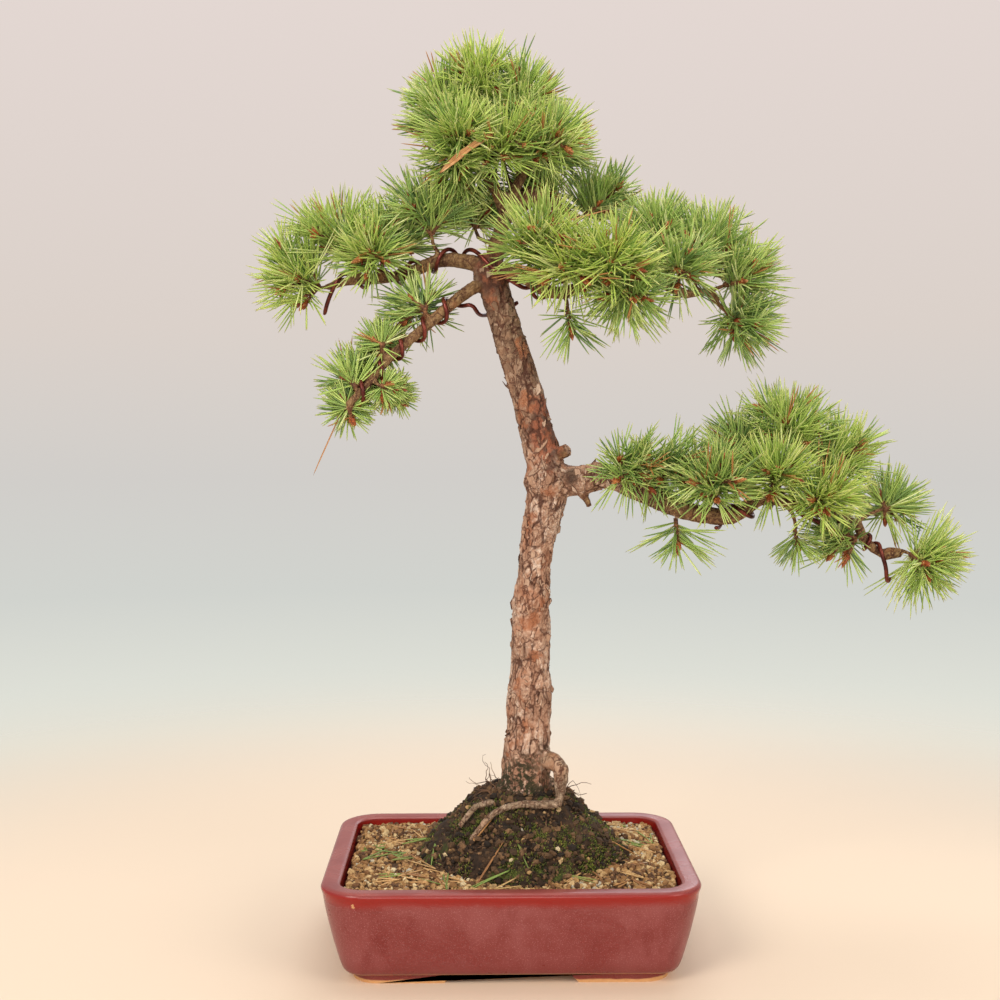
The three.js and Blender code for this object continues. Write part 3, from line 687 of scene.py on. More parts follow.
pot = fire_pot()
print("pot:", len(pot.data.polygons), "faces")

# %% [markdown]
# ### Oxblood glaze
#
# A copper-red glaze breaks to different colours with its thickness. It runs thin over the rim, and
# the rim's top is painted lighter, partly for the thin glaze and partly as a painted pinkish sheen. It
# gathers to a deep shining red just below the rim, and on the walls it is veiled with a mauve haze full
# of tiny pale specks. The feet stand on bare tan clay, where no glaze may reach or the pot would stick
# to the kiln. All of it is keyed to height and to which way the surface faces.

# %% Glaze
NICK = POT_FOOT + Vector((-106, -98.6, 59.5)) * MM  # a chip under the rim


def haze_on(glaze, where, cloud):
    """The mauve veil of the walls, with darker streaks and pale specks."""
    streak = grain(glaze, places(glaze, (1, 1, 0.35)), 60)
    haze = blend(glaze, between(glaze, cloud, 0.36, 0.66), colour("7d3331"), colour("8a4645"))
    haze = blend(glaze, between(glaze, streak, 0.52, 0.75, 0, 0.5), haze, colour("70211f"))
    speck = between(glaze, cells(glaze, where, 900), 0.12, 0.3, 1, 0)
    fine = between(glaze, grain(glaze, where, 1500, detail=1), 0.58, 0.72)
    haze = blend(glaze, times(glaze, speck, 0.4), haze, colour("c18a8c"))
    return blend(glaze, times(glaze, fine, 0.3), haze, colour("ad6a6c"))


def bare_clay(glaze, where, height, up, heel):
    """How bare the clay is: under the feet, on the underside, and in the chip."""
    ragged = sums(glaze, "ADD", height, times(glaze, grain(glaze, where, 45), 3 * MM))
    clay_line = between(glaze, ragged, POT_LOW.z + 3.2 * MM, POT_LOW.z + 4.4 * MM, 1, 0)
    under = between(glaze, up, -0.95, -0.7, 1, 0)
    clay = sums(glaze, "MAXIMUM", clay_line, times(glaze, under, heel))
    nick_at = add(glaze, "VectorMath", {0: where, 1: NICK}, operation="DISTANCE").outputs["Value"]
    nick_edge = times(glaze, grain(glaze, where, 700), 3.4 * MM)
    nick = between(glaze, sums(glaze, "ADD", nick_at, nick_edge), 3.0 * MM, 3.5 * MM, 1, 0)
    return sums(glaze, "MAXIMUM", clay, times(glaze, nick, 0.8))


def oxblood():
    glaze, surface = new_finish("oxblood_glaze", 0.36, IOR=1.4, Coat_Weight=0.05, Coat_Roughness=0.2)
    where = places(glaze)
    height = axis_of(glaze, where, 2)
    up = axis_of(glaze, add(glaze, "NewGeometry").outputs["Normal"], 2)
    cloud = grain(glaze, where, 22, detail=4, distortion=0.6)
    below = sums(glaze, "SUBTRACT", RIM_Z, height)
    wavy = sums(glaze, "ADD", below, times(glaze, cloud, 6 * MM))
    band = times(glaze, between(glaze, wavy, 3 * MM, 6 * MM), between(glaze, wavy, 8 * MM, 15 * MM, 1, 0))
    wall = blend(glaze, band, haze_on(glaze, where, cloud), colour("8f1d17"))
    heel = between(glaze, height, POT_LOW.z + 9 * MM, POT_LOW.z + 22 * MM, 1, 0)
    wall = blend(glaze, times(glaze, heel, 0.55), wall, colour("7d3532"))
    # painted sheen: upward faces near the rim take a lighter colour, partly for the thin glaze and partly
    # as a painted pinkish sheen
    top = between(glaze, up, 0.55, 0.9)
    near_rim = between(glaze, below, 2 * MM, 5 * MM, 1, 0)
    rim = blend(glaze, between(glaze, cloud, 0.35, 0.7), colour("9a4e48"), colour("863c3a"))
    wall = blend(glaze, times(glaze, top, near_rim), wall, rim)
    bisque = blend(glaze, grain(glaze, where, 320), colour("c98f58"), colour("dcb280"))
    bare = bare_clay(glaze, where, height, up, heel)
    final = blend(glaze, bare, wall, bisque)
    rough = sums(glaze, "ADD", between(glaze, cloud, 0.3, 0.8, 0.25, 0.4), times(glaze, bare, 0.45))
    rough = sums(glaze, "SUBTRACT", rough, times(glaze, band, 0.12))
    relief = grain(glaze, where, 380)
    return wear(glaze, surface, base=final, rough=rough, height=relief, depth=0.25 * MM, strength=0.45)


coat(pot.data, oxblood())
print("glazed")

# %% [markdown]
# ### Drain mesh and clips
#
# Plastic mesh keeps the grit in over each hole, held by a loop of soft wire. Their shapes in the
# frame are right as they are, so they only get their finishes.

# %% Mesh and clip finishes
def drain_mesh_finish():
    plastic, surface = new_finish("mesh_plastic", 0.55)
    where = places(plastic)
    dust = between(plastic, grain(plastic, where, 260, detail=4), 0.5, 0.75)
    tint = blend(plastic, dust, colour("1d2022"), colour("4d4438"))
    relief = grain(plastic, where, 900)
    return wear(plastic, surface, base=tint, height=relief, depth=0.1 * MM, strength=0.4)


def clip_finish():
    wire, surface = new_finish("clip_wire", 0.38, Metallic=1.0)
    where = places(wire)
    drawn = grain(wire, places(wire, (1, 1, 0.1)), 1400, detail=2)
    tint = blend(wire, between(wire, grain(wire, where, 240), 0.4, 0.7), colour("b9b2a6"), colour("8d8578"))
    return wear(wire, surface, base=tint, rough=between(wire, drawn, 0.3, 0.7, 0.3, 0.5))


mesh_plastic, clip_wire = drain_mesh_finish(), clip_finish()
for side in ("left", "right"):
    coat(NODES["drainage_mesh_" + side].data, mesh_plastic)
    coat(NODES["mesh_clip_" + side].data, clip_wire)
print("mesh and clips dressed")

# %% [markdown]
# ## Grit
#
# Bonsai stand in coarse grit that drains at once: crushed pumice and fired clay, 2 to 6 mm across,
# from ochre to brown. A flat slab with a bump map would give itself away at the rim, so real grains
# are scattered on a rough bed. Each is one of a few angular stones with a few dozen faces, and takes
# its colour from its own number.

# %% Grit finish
def number_of(material, channel, name="item"):
    """One of the first three numbers stored on the vertices."""
    stored = add(material, "Attribute", attribute_name=name)
    return add(material, "SeparateColor", {0: stored.outputs["Color"]}).outputs[channel]


def stone_finish(name, stops, dirt_and_shade):
    stone, surface = new_finish(name, 0.9)
    where = places(stone)
    base = toned(stone, number_of(stone, 0), stops)
    pores = grain(stone, where, 900, detail=4)
    # pores darkened with the given colour: real dirt on grit and crumbs, painted shade on the bed
    base = blend(stone, between(stone, pores, 0.42, 0.68, 0, 0.55), base, colour(dirt_and_shade))
    return wear(stone, surface, base=base, height=pores, depth=0.5 * MM, strength=0.8)


GRIT_TONES = [
    (0.0, "4d3320"), (0.14, "6e4a2c"), (0.3, "8f683f"), (0.48, "ab8251"),
    (0.64, "c19d6b"), (0.8, "d3b888"), (0.93, "e0cfa8"), (1.0, "b9b3a2"),
]
grit_finish = stone_finish("grit_stone", GRIT_TONES, "6b4a2d")
# painted shade: the bed under the grains is much darker than any grit, as the shade in the gaps between the
# grains
bed_painted_shade_finish = stone_finish("grit_bed", [(0.0, "3a2616"), (0.5, "553a22"), (1.0, "6d4c2d")], "2c1c10")
print("grit finishes ready")

# %% Grit bed and grains
SOIL_LOW, SOIL_HIGH = (Vector(corner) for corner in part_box("soil"))
GROUND = skin_of("soil", "root_mound")
MOUND = skin_of("root_mound")
SOIL = skin_of("soil")
WOOD = skin_of("tree")


def drop_to(skin, x, y, high=0.5):
    """Where a thing dropped at x, y lands, and the slope there."""
    spot, normal, *_ = skin.ray_cast(Vector((x, y, high)), -UP)
    return spot, normal


def lay_bed():
    bed = put("bed", welded_copy("soil", "grit_bed"))
    even_skin(bed, 3.2 * MM)
    spots, normals = vertex_rows(bed.data)
    lift = [noise.noise(Vector(s) * 190) for s in spots]
    upward = np.clip(normals[:, 2], 0, 1)
    spots[:, 2] += np.array(lift) * 0.9 * MM * upward - 0.9 * MM * (upward > 0.4)
    move_vertices(bed.data, spots)
    mesh = bed.data
    bpy.data.objects.remove(bed)
    return mesh


def fill_pot():
    bed = new_piece("grit_bed", lay_bed(), ["soil"])
    table = np.zeros((len(bed.data.vertices), 4))
    table[:, 0] = [0.5 + 0.8 * noise.noise(Vector(s) * 320) for s in vertex_rows(bed.data)[0]]
    paint_vertices(bed.data, "item", table)
    coat(bed.data, bed_painted_shade_finish)
    smoothly(bed.data)
    return bed


bed = fill_pot()
print("bed:", len(bed.data.polygons), "faces")


# %% Grains
def strew_grit(seed, count):
    draw = random.Random(seed)
    stones = stone_shapes(seed, 7)
    heap = Heap()
    middle = (SOIL_LOW + SOIL_HIGH) / 2
    half = (SOIL_HIGH - SOIL_LOW) / 2
    for _ in range(count):
        x = middle.x + draw.uniform(-1, 1) * (half.x - 2.5 * MM)
        y = middle.y + draw.uniform(-1, 1) * (half.y - 2.5 * MM)
        spot, slope = drop_to(SOIL, x, y, SOIL_HIGH.z + 1 * MM)
        hidden, _ = drop_to(MOUND, x, y)
        if spot is None or slope.z < 0.5 or spot.z < SOIL_HIGH.z - 6 * MM:
            continue
        if hidden is not None and hidden.z > spot.z + 4 * MM:
            continue
        size = min(draw.lognormvariate(0.4, 0.38), 3.5) * MM
        away = abs(noise.noise(Vector((x, y, 0)) * 22))
        tone = held(draw.gauss(0.42 + 0.5 * (away - 0.15), 0.28))
        spin = tumble(draw)
        shape = Matrix.Diagonal((size, size * draw.uniform(0.7, 1), size * draw.uniform(0.55, 0.85), 1))
        lift = UP * (size * draw.uniform(-0.25, 0.4))
        heap.drop(draw.choice(stones), Matrix.Translation(spot + lift) @ spin @ shape, tone)
    return heap.mesh("grit_grains", grit_finish)


grains = new_piece("grit_grains", strew_grit(11, 8500))
print("grains:", len(grains.data.polygons), "faces")

# %% [markdown]
# ## The old root ball
#
# The tree was planted high, on the root ball of its last pot. That ball has weathered to a dark mound
# of crumbs, moss and fine roots with a few pale pebbles. Its solid is given an even skin and pushed
# into lumps, then covered with what can be seen on it: crumbs, pebbles, and moss made of thousands of
# tiny upright leaves that grow in cushions.

# %% Mound finish and skin
def mound_finish():
    earth, surface = new_finish("mossy_earth", 0.95)
    where = places(earth)
    lumps = grain(earth, where, 150, detail=5)
    base = toned(earth, lumps, [(0.3, "170f09"), (0.5, "302013"), (0.7, "4d3622")])
    film = between(earth, grain(earth, where, 48, detail=5, distortion=0.4), 0.5, 0.62)
    moss = toned(earth, grain(earth, where, 420), [(0.3, "2c3412"), (0.55, "4b571e"), (0.75, "737a2c")])
    base = blend(earth, times(earth, film, 0.75), base, moss)
    return wear(earth, surface, base=base, height=lumps, depth=1.2 * MM, strength=1.0)


LUMPS = ((2.6, 60), (1.6, 160), (0.7, 420))  # (height in millimetres, how fine)


def heave_mound():
    name = "root_mound_skin"
    mound = new_piece(name, welded_copy("root_mound", name), ["root_mound"])
    even_skin(mound, 1.9 * MM)
    mesh = mound.data
    spots, normals = vertex_rows(mesh)
    lift = [sum(high * noise.noise(Vector(s) * fine) for high, fine in LUMPS) for s in spots]
    free = np.clip((spots[:, 2] - SOIL_HIGH.z + 6 * MM) / (8 * MM), 0, 1)
    move_vertices(mesh, spots + normals * (np.array(lift) * free * MM)[:, None])
    coat(mesh, mound_finish())
    smoothly(mesh)
    return mound


mound = heave_mound()
MOUND_LOW, MOUND_HIGH = (Vector(corner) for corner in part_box("root_mound"))
print("mound:", len(mound.data.polygons), "faces")

# %% Crumbs and pebbles
CRUMB_TONES = [(0.0, "1d140c"), (0.4, "3c2a1a"), (0.75, "5f452c"), (1.0, "856444")]
crumb_finish = stone_finish("earth_crumb", CRUMB_TONES, "1c130b")
SHOWS_FROM = SOIL_HIGH.z - 3 * MM


def mound_spot(draw):
    """A random place on the mound that shows."""
    while True:
        x = draw.uniform(MOUND_LOW.x, MOUND_HIGH.x)
        y = draw.uniform(MOUND_LOW.y, MOUND_HIGH.y)
        spot, slope = drop_to(MOUND, x, y)
        if spot is not None and spot.z > SHOWS_FROM:
            return spot, slope


def crumble(seed, count):
    draw = random.Random(seed)
    stones = stone_shapes(seed, 6, 0.35)
    heap = Heap()
    for _ in range(count):
        spot, slope = mound_spot(draw)
        size = min(draw.lognormvariate(0.15, 0.5), 3.6) * MM
        spin = tumble(draw)
        shape = Matrix.Diagonal((size, size * draw.uniform(0.6, 1), size * draw.uniform(0.5, 0.9), 1))
        place = Matrix.Translation(spot + slope * 0.4 * size) @ spin @ shape
        heap.drop(draw.choice(stones), place, draw.random())
    return heap.mesh("earth_crumbs", crumb_finish)


def scatter_pebbles(seed, count):
    draw = random.Random(seed)
    stones = stone_shapes(seed, 5, 0.3)
    heap = Heap()
    for _ in range(count):
        spot, slope = mound_spot(draw)
        size = draw.triangular(1.1, 3.2, 1.4) * MM
        spin = tumble(draw)
        shape = Matrix.Diagonal((size, size * 0.8, size * 0.7, 1))
        tone = draw.uniform(0.45, 1)
        heap.drop(draw.choice(stones), Matrix.Translation(spot + slope * 0.5 * size) @ spin @ shape, tone)
    return heap.mesh("pebbles", grit_finish)


crumbs = new_piece("earth_crumbs", crumble(21, 6000))
pebbles = new_piece("pebbles", scatter_pebbles(22, 46))
print("crumbs and pebbles:", len(crumbs.data.polygons) + len(pebbles.data.polygons), "faces")

# %% Moss
def moss_finish():
    moss, surface = new_finish("moss", 0.8)
    greens = [(0.0, "323b14"), (0.4, "55621f"), (0.75, "7d872e"), (1.0, "a7a648")]
    base = toned(moss, number_of(moss, 0), greens)
    # painted shade: each moss leaf is darkened towards its foot, down to about a third, as the shade deep
    # inside the cushion
    tip = between(moss, number_of(moss, 2), 0.2, 1.0, 0.35, 1.0)
    moss_painted_shade = add(moss, "CombineColor", {0: tip, 1: tip, 2: tip}).outputs[0]
    speckle = grain(moss, places(moss), 700, detail=2)
    base = blend(moss, 1.0, base, moss_painted_shade, "MULTIPLY")
    base = blend(moss, between(moss, speckle, 0.55, 0.8, 0, 0.4), base, colour("a59a4a"))
    return wear(moss, surface, base=base, height=speckle, depth=0.1 * MM, strength=0.4)


LEAF_WIDE = 0.85 * MM


def grow_moss(seed, cushions):
    """Cushions of upright leaves, thickest where a slow noise is high."""
    draw = random.Random(seed)
    leaf = tube_shape(3, [(0, 0.5), (0.55, 0.42), (1, 0.0)])
    heap = Heap()
    while cushions > 0:
        centre, _ = mound_spot(draw)
        if noise.noise(centre * 30) < draw.uniform(-0.25, 0.3):
            continue
        cushions -= 1
        spread = draw.uniform(2.5, 6.5) * MM
        shade = draw.uniform(-0.2, 0.25)
        for _ in range(int(46 * (spread / (5 * MM)) ** 1.4)):
            x, y = centre.x + draw.gauss(0, spread * 0.55), centre.y + draw.gauss(0, spread * 0.55)
            spot, slope = drop_to(MOUND, x, y)
            if spot is None or spot.z < SHOWS_FROM:
                continue
            way = slope + UP * 0.4 + Vector((draw.gauss(0, 0.35), draw.gauss(0, 0.35), 0))
            tall = draw.uniform(1.8, 3.6) * MM
            tone = held(0.5 + shade + draw.gauss(0, 0.15))
            place = aimed(spot - slope * 0.4 * MM, way, tall, LEAF_WIDE, draw.uniform(0, 6))
            heap.drop(leaf, place, tone)
    return heap.mesh("moss", moss_finish())


moss = new_piece("moss", grow_moss(31, 210))
print("moss:", len(moss.data.polygons), "faces")

# %% [markdown]
# ## Bark
#
# A pine's trunk sheds its bark in plates. On the trunk they are taller than wide, pinkish tan, with
# red-brown seams between them, and where one has just fallen off the fresh bark glows rust orange.
# Branches and twigs have small scales instead. Sculpting each plate by hand would take days, and bump
# alone would leave the outline smooth, so the wood's solid gets an even skin and every point of it is
# sunk or raised by a pattern of cells. The same numbers are stored for the finish, so the colours fall
# exactly on the plates. How thick the wood is at each point says how big and deep the plates are.

# %% Bark relief
SKIN_GRAIN = 1.12 * MM  # size of the faces of the wood's skin
TRUNK_PLATE, TWIG_PLATE = (6.8, 17.0), (3.4, 4.8)  # width and height of a plate, in millimetres
BARE_FROM = 0.42  # how rare the freshly bared patches are
BRANCH_THICK = 5.6  # anything thinner is a twig, in millimetres
TRUNK_THICK = (13.0, 19.0)  # wood turns from twig bark to trunk bark over these thicknesses
DIP = 0.6 * MM  # start of a ray under the surface it comes from
ELBOW = POT_FOOT + Vector((36, -20, 132)) * MM  # knee of the root that steps out of the trunk


def thickness(spots, normals, skin, most):
    """How thick the wood is behind each point."""
    depth = np.empty(len(spots))
    for i, (spot, normal) in enumerate(zip(spots, normals)):
        inward = -Vector(normal)
        hit = skin.ray_cast(Vector(spot) + inward * DIP, inward, most)
        depth[i] = most if hit[0] is None else hit[3] + DIP
    return depth


def soft_step(value, low, high):
    share = np.clip((value - low) / (high - low), 0, 1)
    return share * share * (3 - 2 * share)


def bark_at(spot, size):
    """(sunken or raised, how open the seam is, tone, freshly bared) of one point of the bark."""
    wide, tall = size
    sway = noise.noise_vector(spot * 90) * 2.2 * MM
    at = (spot + sway + noise.noise_vector(spot * 310) * 0.9 * MM) / MM
    gaps, centres = noise.voronoi(Vector((at.x / wide, at.y / wide, at.z / tall)))
    plate = noise.cell(centres[0] * 9.7) % 1
    gaping = soft_step(noise.noise(spot * 55) + 0.12, -0.15, 0.3)
    seam = (1 - min((gaps[1] - gaps[0]) / 0.13, 1)) * gaping
    flakes = 2.6 * noise.noise(Vector((at.x, at.y, at.z * 0.42)) * (1.15 / wide)) + 1.3 * plate
    layer = math.floor(flakes)
    share = flakes - layer
    lip = 1 - min(min(share, 1 - share) / 0.09, 1)
    raised = 0.42 * (layer + soft_step(share, 0.4, 0.6)) - 1.15 * seam - 0.55
    bared = noise.noise(spot * 52 + Vector((3, 1, 0))) + 0.22 * plate
    bared = soft_step(bared, BARE_FROM, BARE_FROM + 0.08) * (spot.z > MOUND_HIGH.z + 25 * MM)
    tone = 0.4 * plate + 0.3 * share + 0.3 * (0.5 + noise.noise(spot * 500))
    return raised, min(seam + 0.55 * lip, 1), tone, bared


print("a plate is", TRUNK_PLATE, "mm, a scale", TWIG_PLATE, "mm")

# %% Raise the bark
def raise_bark():
    """The wood with its relief and its stored numbers, and a finder of the nearest real branch."""
    wood = new_piece("pine_wood", welded_copy("tree", "pine_wood"), ["tree"])
    even_skin(wood, SKIN_GRAIN)
    mesh = wood.data
    spots, normals = vertex_rows(mesh)
    thick = thickness(spots, normals, WOOD, 40 * MM) / MM
    old = soft_step(thick, *TRUNK_THICK)
    branches = [Vector(spot) for spot, wide in zip(spots, thick) if wide > BRANCH_THICK]
    table = np.zeros((len(spots), 4))
    lift = np.zeros(len(spots))
    for i, row in enumerate(spots):
        spot = Vector(row)
        rough = noise.noise(spot * 900) + 0.6 * noise.noise(spot * 1900)
        raised, seam, tone, bared = bark_at(spot, TRUNK_PLATE if old[i] > 0.3 else TWIG_PLATE)
        lift[i] = (raised - 0.4 * bared) * (0.25 + 0.75 * old[i]) + 0.15 * rough
        lift[i] += 0.6 * old[i] * noise.noise(spot * 60)
        lift[i] += 2.0 * max(1 - (spot - ELBOW).length / (19 * MM), 0)
        table[i] = (1 - seam, tone, bared * old[i], old[i])
    slim = np.clip(thick / 9, 0.3, 1)
    move_vertices(mesh, spots + normals * (lift * slim * MM)[:, None])
    paint_vertices(mesh, "bark", table)
    smoothly(mesh)
    nearest = KDTree(len(branches))
    for i, spot in enumerate(branches):
        nearest.insert(spot, i)
    nearest.balance()
    return wood, nearest


wood, BRANCHES = raise_bark()
print("wood:", len(wood.data.polygons), "faces")


# %% Bark tones
CROWN_Z = RIM_Z + 0.40


def wood_tones(bark, tone, old, height):
    """Pinkish tan on the trunk, greyer towards the crown, brown on twigs, pale on the bare root."""
    pale = toned(bark, tone, [(0.15, "8a6049"), (0.38, "ad846b"), (0.6, "c8a48c"), (0.85, "e3cbb8")])
    grey = toned(bark, tone, [(0.15, "5d4533"), (0.4, "7d614b"), (0.62, "96785f"), (0.85, "b59a80")])
    twig = toned(bark, tone, [(0.1, "5f432b"), (0.45, "896743"), (0.9, "ab8b60")])
    root = toned(bark, tone, [(0.1, "7b614c"), (0.45, "a88d73"), (0.9, "cdb69d")])
    twig = blend(bark, between(bark, height, ELBOW.z + 6 * MM, ELBOW.z + 16 * MM, 1, 0), twig, root)
    trunk = blend(bark, up_the_tree(bark, height), pale, grey)
    return blend(bark, old, twig, trunk)


def up_the_tree(material, height):
    return between(material, height, CROWN_Z - 150 * MM, CROWN_Z - 20 * MM)


def crackle(bark, where, cloud, patch):
    """Long cracks and small chips, drawn along the edges of swaying cells."""
    sway = add(bark, "TexNoise", {"Vector": where, "Scale": 130, "Detail": 3}).outputs["Color"]
    sway = add(bark, "VectorMath", {0: sway, 1: (-0.5, -0.5, -0.5)}).outputs[0]
    sway = add(bark, "VectorMath", {0: sway, "Scale": 7 * MM}, operation="SCALE").outputs[0]
    swayed = add(bark, "VectorMath", {0: where, 1: sway}).outputs[0]
    tall = add(bark, "Mapping", {"Vector": swayed, "Scale": (1, 1, 0.45)}).outputs[0]
    crack = between(bark, cells(bark, tall, 175, "DISTANCE_TO_EDGE"), 0.012, 0.06, 1, 0)
    crack = times(bark, crack, between(bark, patch, 0.36, 0.52))
    chip = between(bark, cells(bark, swayed, 460, "DISTANCE_TO_EDGE"), 0.02, 0.09, 0.55, 0)
    chip = times(bark, chip, between(bark, cloud, 0.62, 0.42))
    return sums(bark, "MAXIMUM", crack, chip)


print("bark tones ready")

# %% Wounds and damp
WOUNDS = [  # (middle, radius, light, deep): torn bark above the fork, dark moss where the bough starts
    (POT_FOOT + Vector((27, -18, 372)) * MM, 12 * MM, "96553a", "43241a"),
    (POT_FOOT + Vector((44, -18, 347)) * MM, 3 * MM, "75533c", "33241a"),
    (POT_FOOT + Vector((-13, -16, 486)) * MM, 9 * MM, "8a4c33", "4a281c"),
]


def wounded(bark, base, where, cloud, patch):
    """The colour with every wound worn into it."""
    for centre, radius, light, deep in WOUNDS:
        apart = add(bark, "VectorMath", {0: where, 1: centre}, operation="SUBTRACT").outputs[0]
        apart = add(bark, "VectorMath", {0: apart, 1: (1, 1, 0.5)}, operation="MULTIPLY").outputs[0]
        apart = add(bark, "VectorMath", {0: apart}, operation="LENGTH").outputs["Value"]
        apart = sums(bark, "ADD", apart, times(bark, cloud, 16 * MM))
        raw = blend(bark, between(bark, patch, 0.42, 0.62), colour(deep), colour(light))
        base = blend(bark, between(bark, apart, radius + 5 * MM, radius + 13 * MM, 0.85, 0), base, raw)
    return base


def damp_foot(bark, base, where, cloud, old, height):
    """Algae and damp that climb a little way up from the soil."""
    ragged = sums(bark, "ADD", height, times(bark, sums(bark, "SUBTRACT", cloud, 0.5), 90 * MM))
    damp = between(bark, ragged, MOUND_HIGH.z + 2 * MM, MOUND_HIGH.z + 44 * MM, 1, 0)
    speck = between(bark, grain(bark, where, 330, detail=4), 0.4, 0.54)
    dark = blend(bark, grain(bark, where, 120), colour("241a12"), colour("43401f"))
    damp = times(bark, damp, between(bark, old, 0.1, 0.9, 0.3, 1))
    return blend(bark, times(bark, damp, speck), base, dark)


print(len(WOUNDS), "wounds")


# %% Bark finish
def bark_finish():
    bark, surface = new_finish("pine_bark", 0.85)
    where = places(bark)
    whole, tone, bared = (number_of(bark, channel, "bark") for channel in (0, 1, 2))
    old = add(bark, "Attribute", attribute_name="bark").outputs["Alpha"]
    height = axis_of(bark, where, 2)
    fibre = grain(bark, places(bark, (1, 1, 0.3)), 800, detail=4)
    cloud = grain(bark, where, 42, detail=4)
    patch = grain(bark, where, 150, detail=4)
    base = wood_tones(bark, tone, old, height)
    base = blend(bark, between(bark, cloud, 0.52, 0.68, 0, 0.4), base, colour("a5623d"))
    base = blend(bark, between(bark, patch, 0.52, 0.7, 0, 0.35), base, colour("74503c"))
    base = blend(bark, between(bark, fibre, 0.52, 0.72, 0, 0.45), base, colour("6e4b38"))
    cracks = crackle(bark, where, cloud, patch)
    base = blend(bark, times(bark, cracks, 0.85), base, colour("5a3222"))
    rust = blend(bark, grain(bark, where, 260), colour("7c4128"), colour("bd7a50"))
    fresh = times(bark, bared, between(bark, patch, 0.34, 0.6, 0.3, 0.8))
    base = wounded(bark, blend(bark, fresh, base, rust), where, cloud, patch)
    base = blend(bark, between(bark, whole, 0.95, 0.25, 0, 0.9), base, colour("4f2b1c"))
    base = damp_foot(bark, base, where, cloud, old, height)
    relief = sums(bark, "SUBTRACT", fibre, cracks)
    return wear(bark, surface, base=base, height=relief, depth=0.6 * MM, strength=0.8)


coat(wood.data, bark_finish())
print("bark finished")

# %% [markdown]
# ### Flakes
#
# Here and there a plate of the trunk's bark has come loose and lifts at one edge. Relief on the skin
# can't stand free of it, so a few hundred thin curled flakes with ragged edges are made and laid on
# the old wood. Each points roughly down the trunk and leans out a little.

# %% Bark flakes
def flake_shapes(seed, count):
    """Thin curled plates about one unit wide, with ragged edges."""
    draw = random.Random(seed)
    made = []
    for _ in range(count):
        bm = bmesh.new()
        bmesh.ops.create_circle(bm, cap_ends=True, cap_tris=True, segments=7, radius=1)
        for vertex in bm.verts:
            vertex.co *= draw.uniform(0.5, 1.2)
            vertex.co.z = 0.22 * vertex.co.x ** 2 - 0.3 * vertex.co.y ** 2 + draw.uniform(-0.05, 0.05)
        bmesh.ops.solidify(bm, geom=bm.faces[:], thickness=0.13)
        bmesh.ops.recalc_face_normals(bm, faces=bm.faces)
        layer = bm.loops.layers.uv.new("OFBake")
        for face in bm.faces:
            for loop in face.loops:
                spot = loop.vert.co
                turn = math.atan2(spot.y, spot.x) / math.tau % 1
                if abs(face.normal.z) < 0.4:
                    upper = spot.z > face.calc_center_median().z
                    loop[layer].uv = (0.02 + 0.96 * turn, 0.02 + 0.06 * upper)
                else:
                    middle = 0.25 if face.normal.z > 0 else 0.75
                    loop[layer].uv = (middle + 0.2 * spot.x, 0.56 + 0.36 * spot.y)
        shape = Shape(bm)
        shape.mesh.shade_flat()
        made.append(shape)
    return made


def flake_finish():
    flake, surface = new_finish("bark_flake", 0.85)
    where = places(flake)
    height = axis_of(flake, where, 2)
    tone = number_of(flake, 0)
    pale = toned(flake, tone, [(0.0, "8a5f48"), (0.35, "b08a70"), (0.7, "cdaf98"), (1.0, "dfc9b5")])
    grey = toned(flake, tone, [(0.0, "694d39"), (0.4, "8b6e57"), (0.8, "ab907a"), (1.0, "c0a994")])
    base = blend(flake, up_the_tree(flake, height), pale, grey)
    streak = grain(flake, places(flake, (1, 1, 0.3)), 900, detail=4)
    base = blend(flake, between(flake, streak, 0.45, 0.7, 0, 0.6), base, colour("6e4a37"))
    base = blend(flake, between(flake, number_of(flake, 2), 0.16, 0.08, 0, 0.8), base, colour("5a3424"))
    return wear(flake, surface, base=base, height=streak, depth=0.3 * MM, strength=0.7)


print("ready to shed bark")

# %% Lay the flakes
def shed_bark(seed, count):
    """Flakes that are coming off the trunk, each with one edge lifted."""
    draw = random.Random(seed)
    shapes = flake_shapes(seed, 9)
    spots, normals = vertex_rows(wood.data)
    old = np.zeros(len(spots) * 4, np.float32)
    wood.data.attributes["bark"].data.foreach_get("color", old)
    trunk = np.flatnonzero((old[3::4] > 0.6) & (spots[:, 2] > MOUND_HIGH.z + 14 * MM))
    heap = Heap()
    for _ in range(count):
        i = int(trunk[draw.randrange(len(trunk))])
        spot, out = Vector(spots[i]), Vector(normals[i])
        side = UP.cross(out).normalized()
        face = (out + 0.2 * Vector([draw.gauss(0, 1) for _ in range(3)])).normalized()
        turn = Matrix.Rotation(draw.gauss(0, 0.5), 3, face)
        down = (turn @ face.cross(side)).normalized()
        wide = draw.triangular(1.2, 4.4, 1.8) * MM
        tall = wide * draw.uniform(1.1, 2.4)
        stand = Matrix((down.cross(face), down, face)).transposed().to_4x4()
        size = Matrix.Diagonal((wide, tall, 2.4 * MM, 1))
        shape = draw.choice(shapes)
        place = Matrix.Translation(spot + out * draw.uniform(-0.2, 0.35) * MM) @ stand @ size
        heap.drop(shape, place, draw.triangular(0, 0.95, 0.4))
    return heap.mesh("bark_flakes", flake_finish())


flakes = new_piece("bark_flakes", shed_bark(61, 330))
print("flakes:", len(flakes.data.polygons), "faces")

# %% [markdown]
# ## Training wire
#
# Anodised aluminium wire, about 3 mm thick and copper brown, is wound round each branch that is being bent.
# It holds its own shape, so its route is kept exactly as it is in the frame, where it is six-sided.
# Subdividing the tube rounds it but also thins it, so each point is then moved out again to give the
# wire back its thickness.

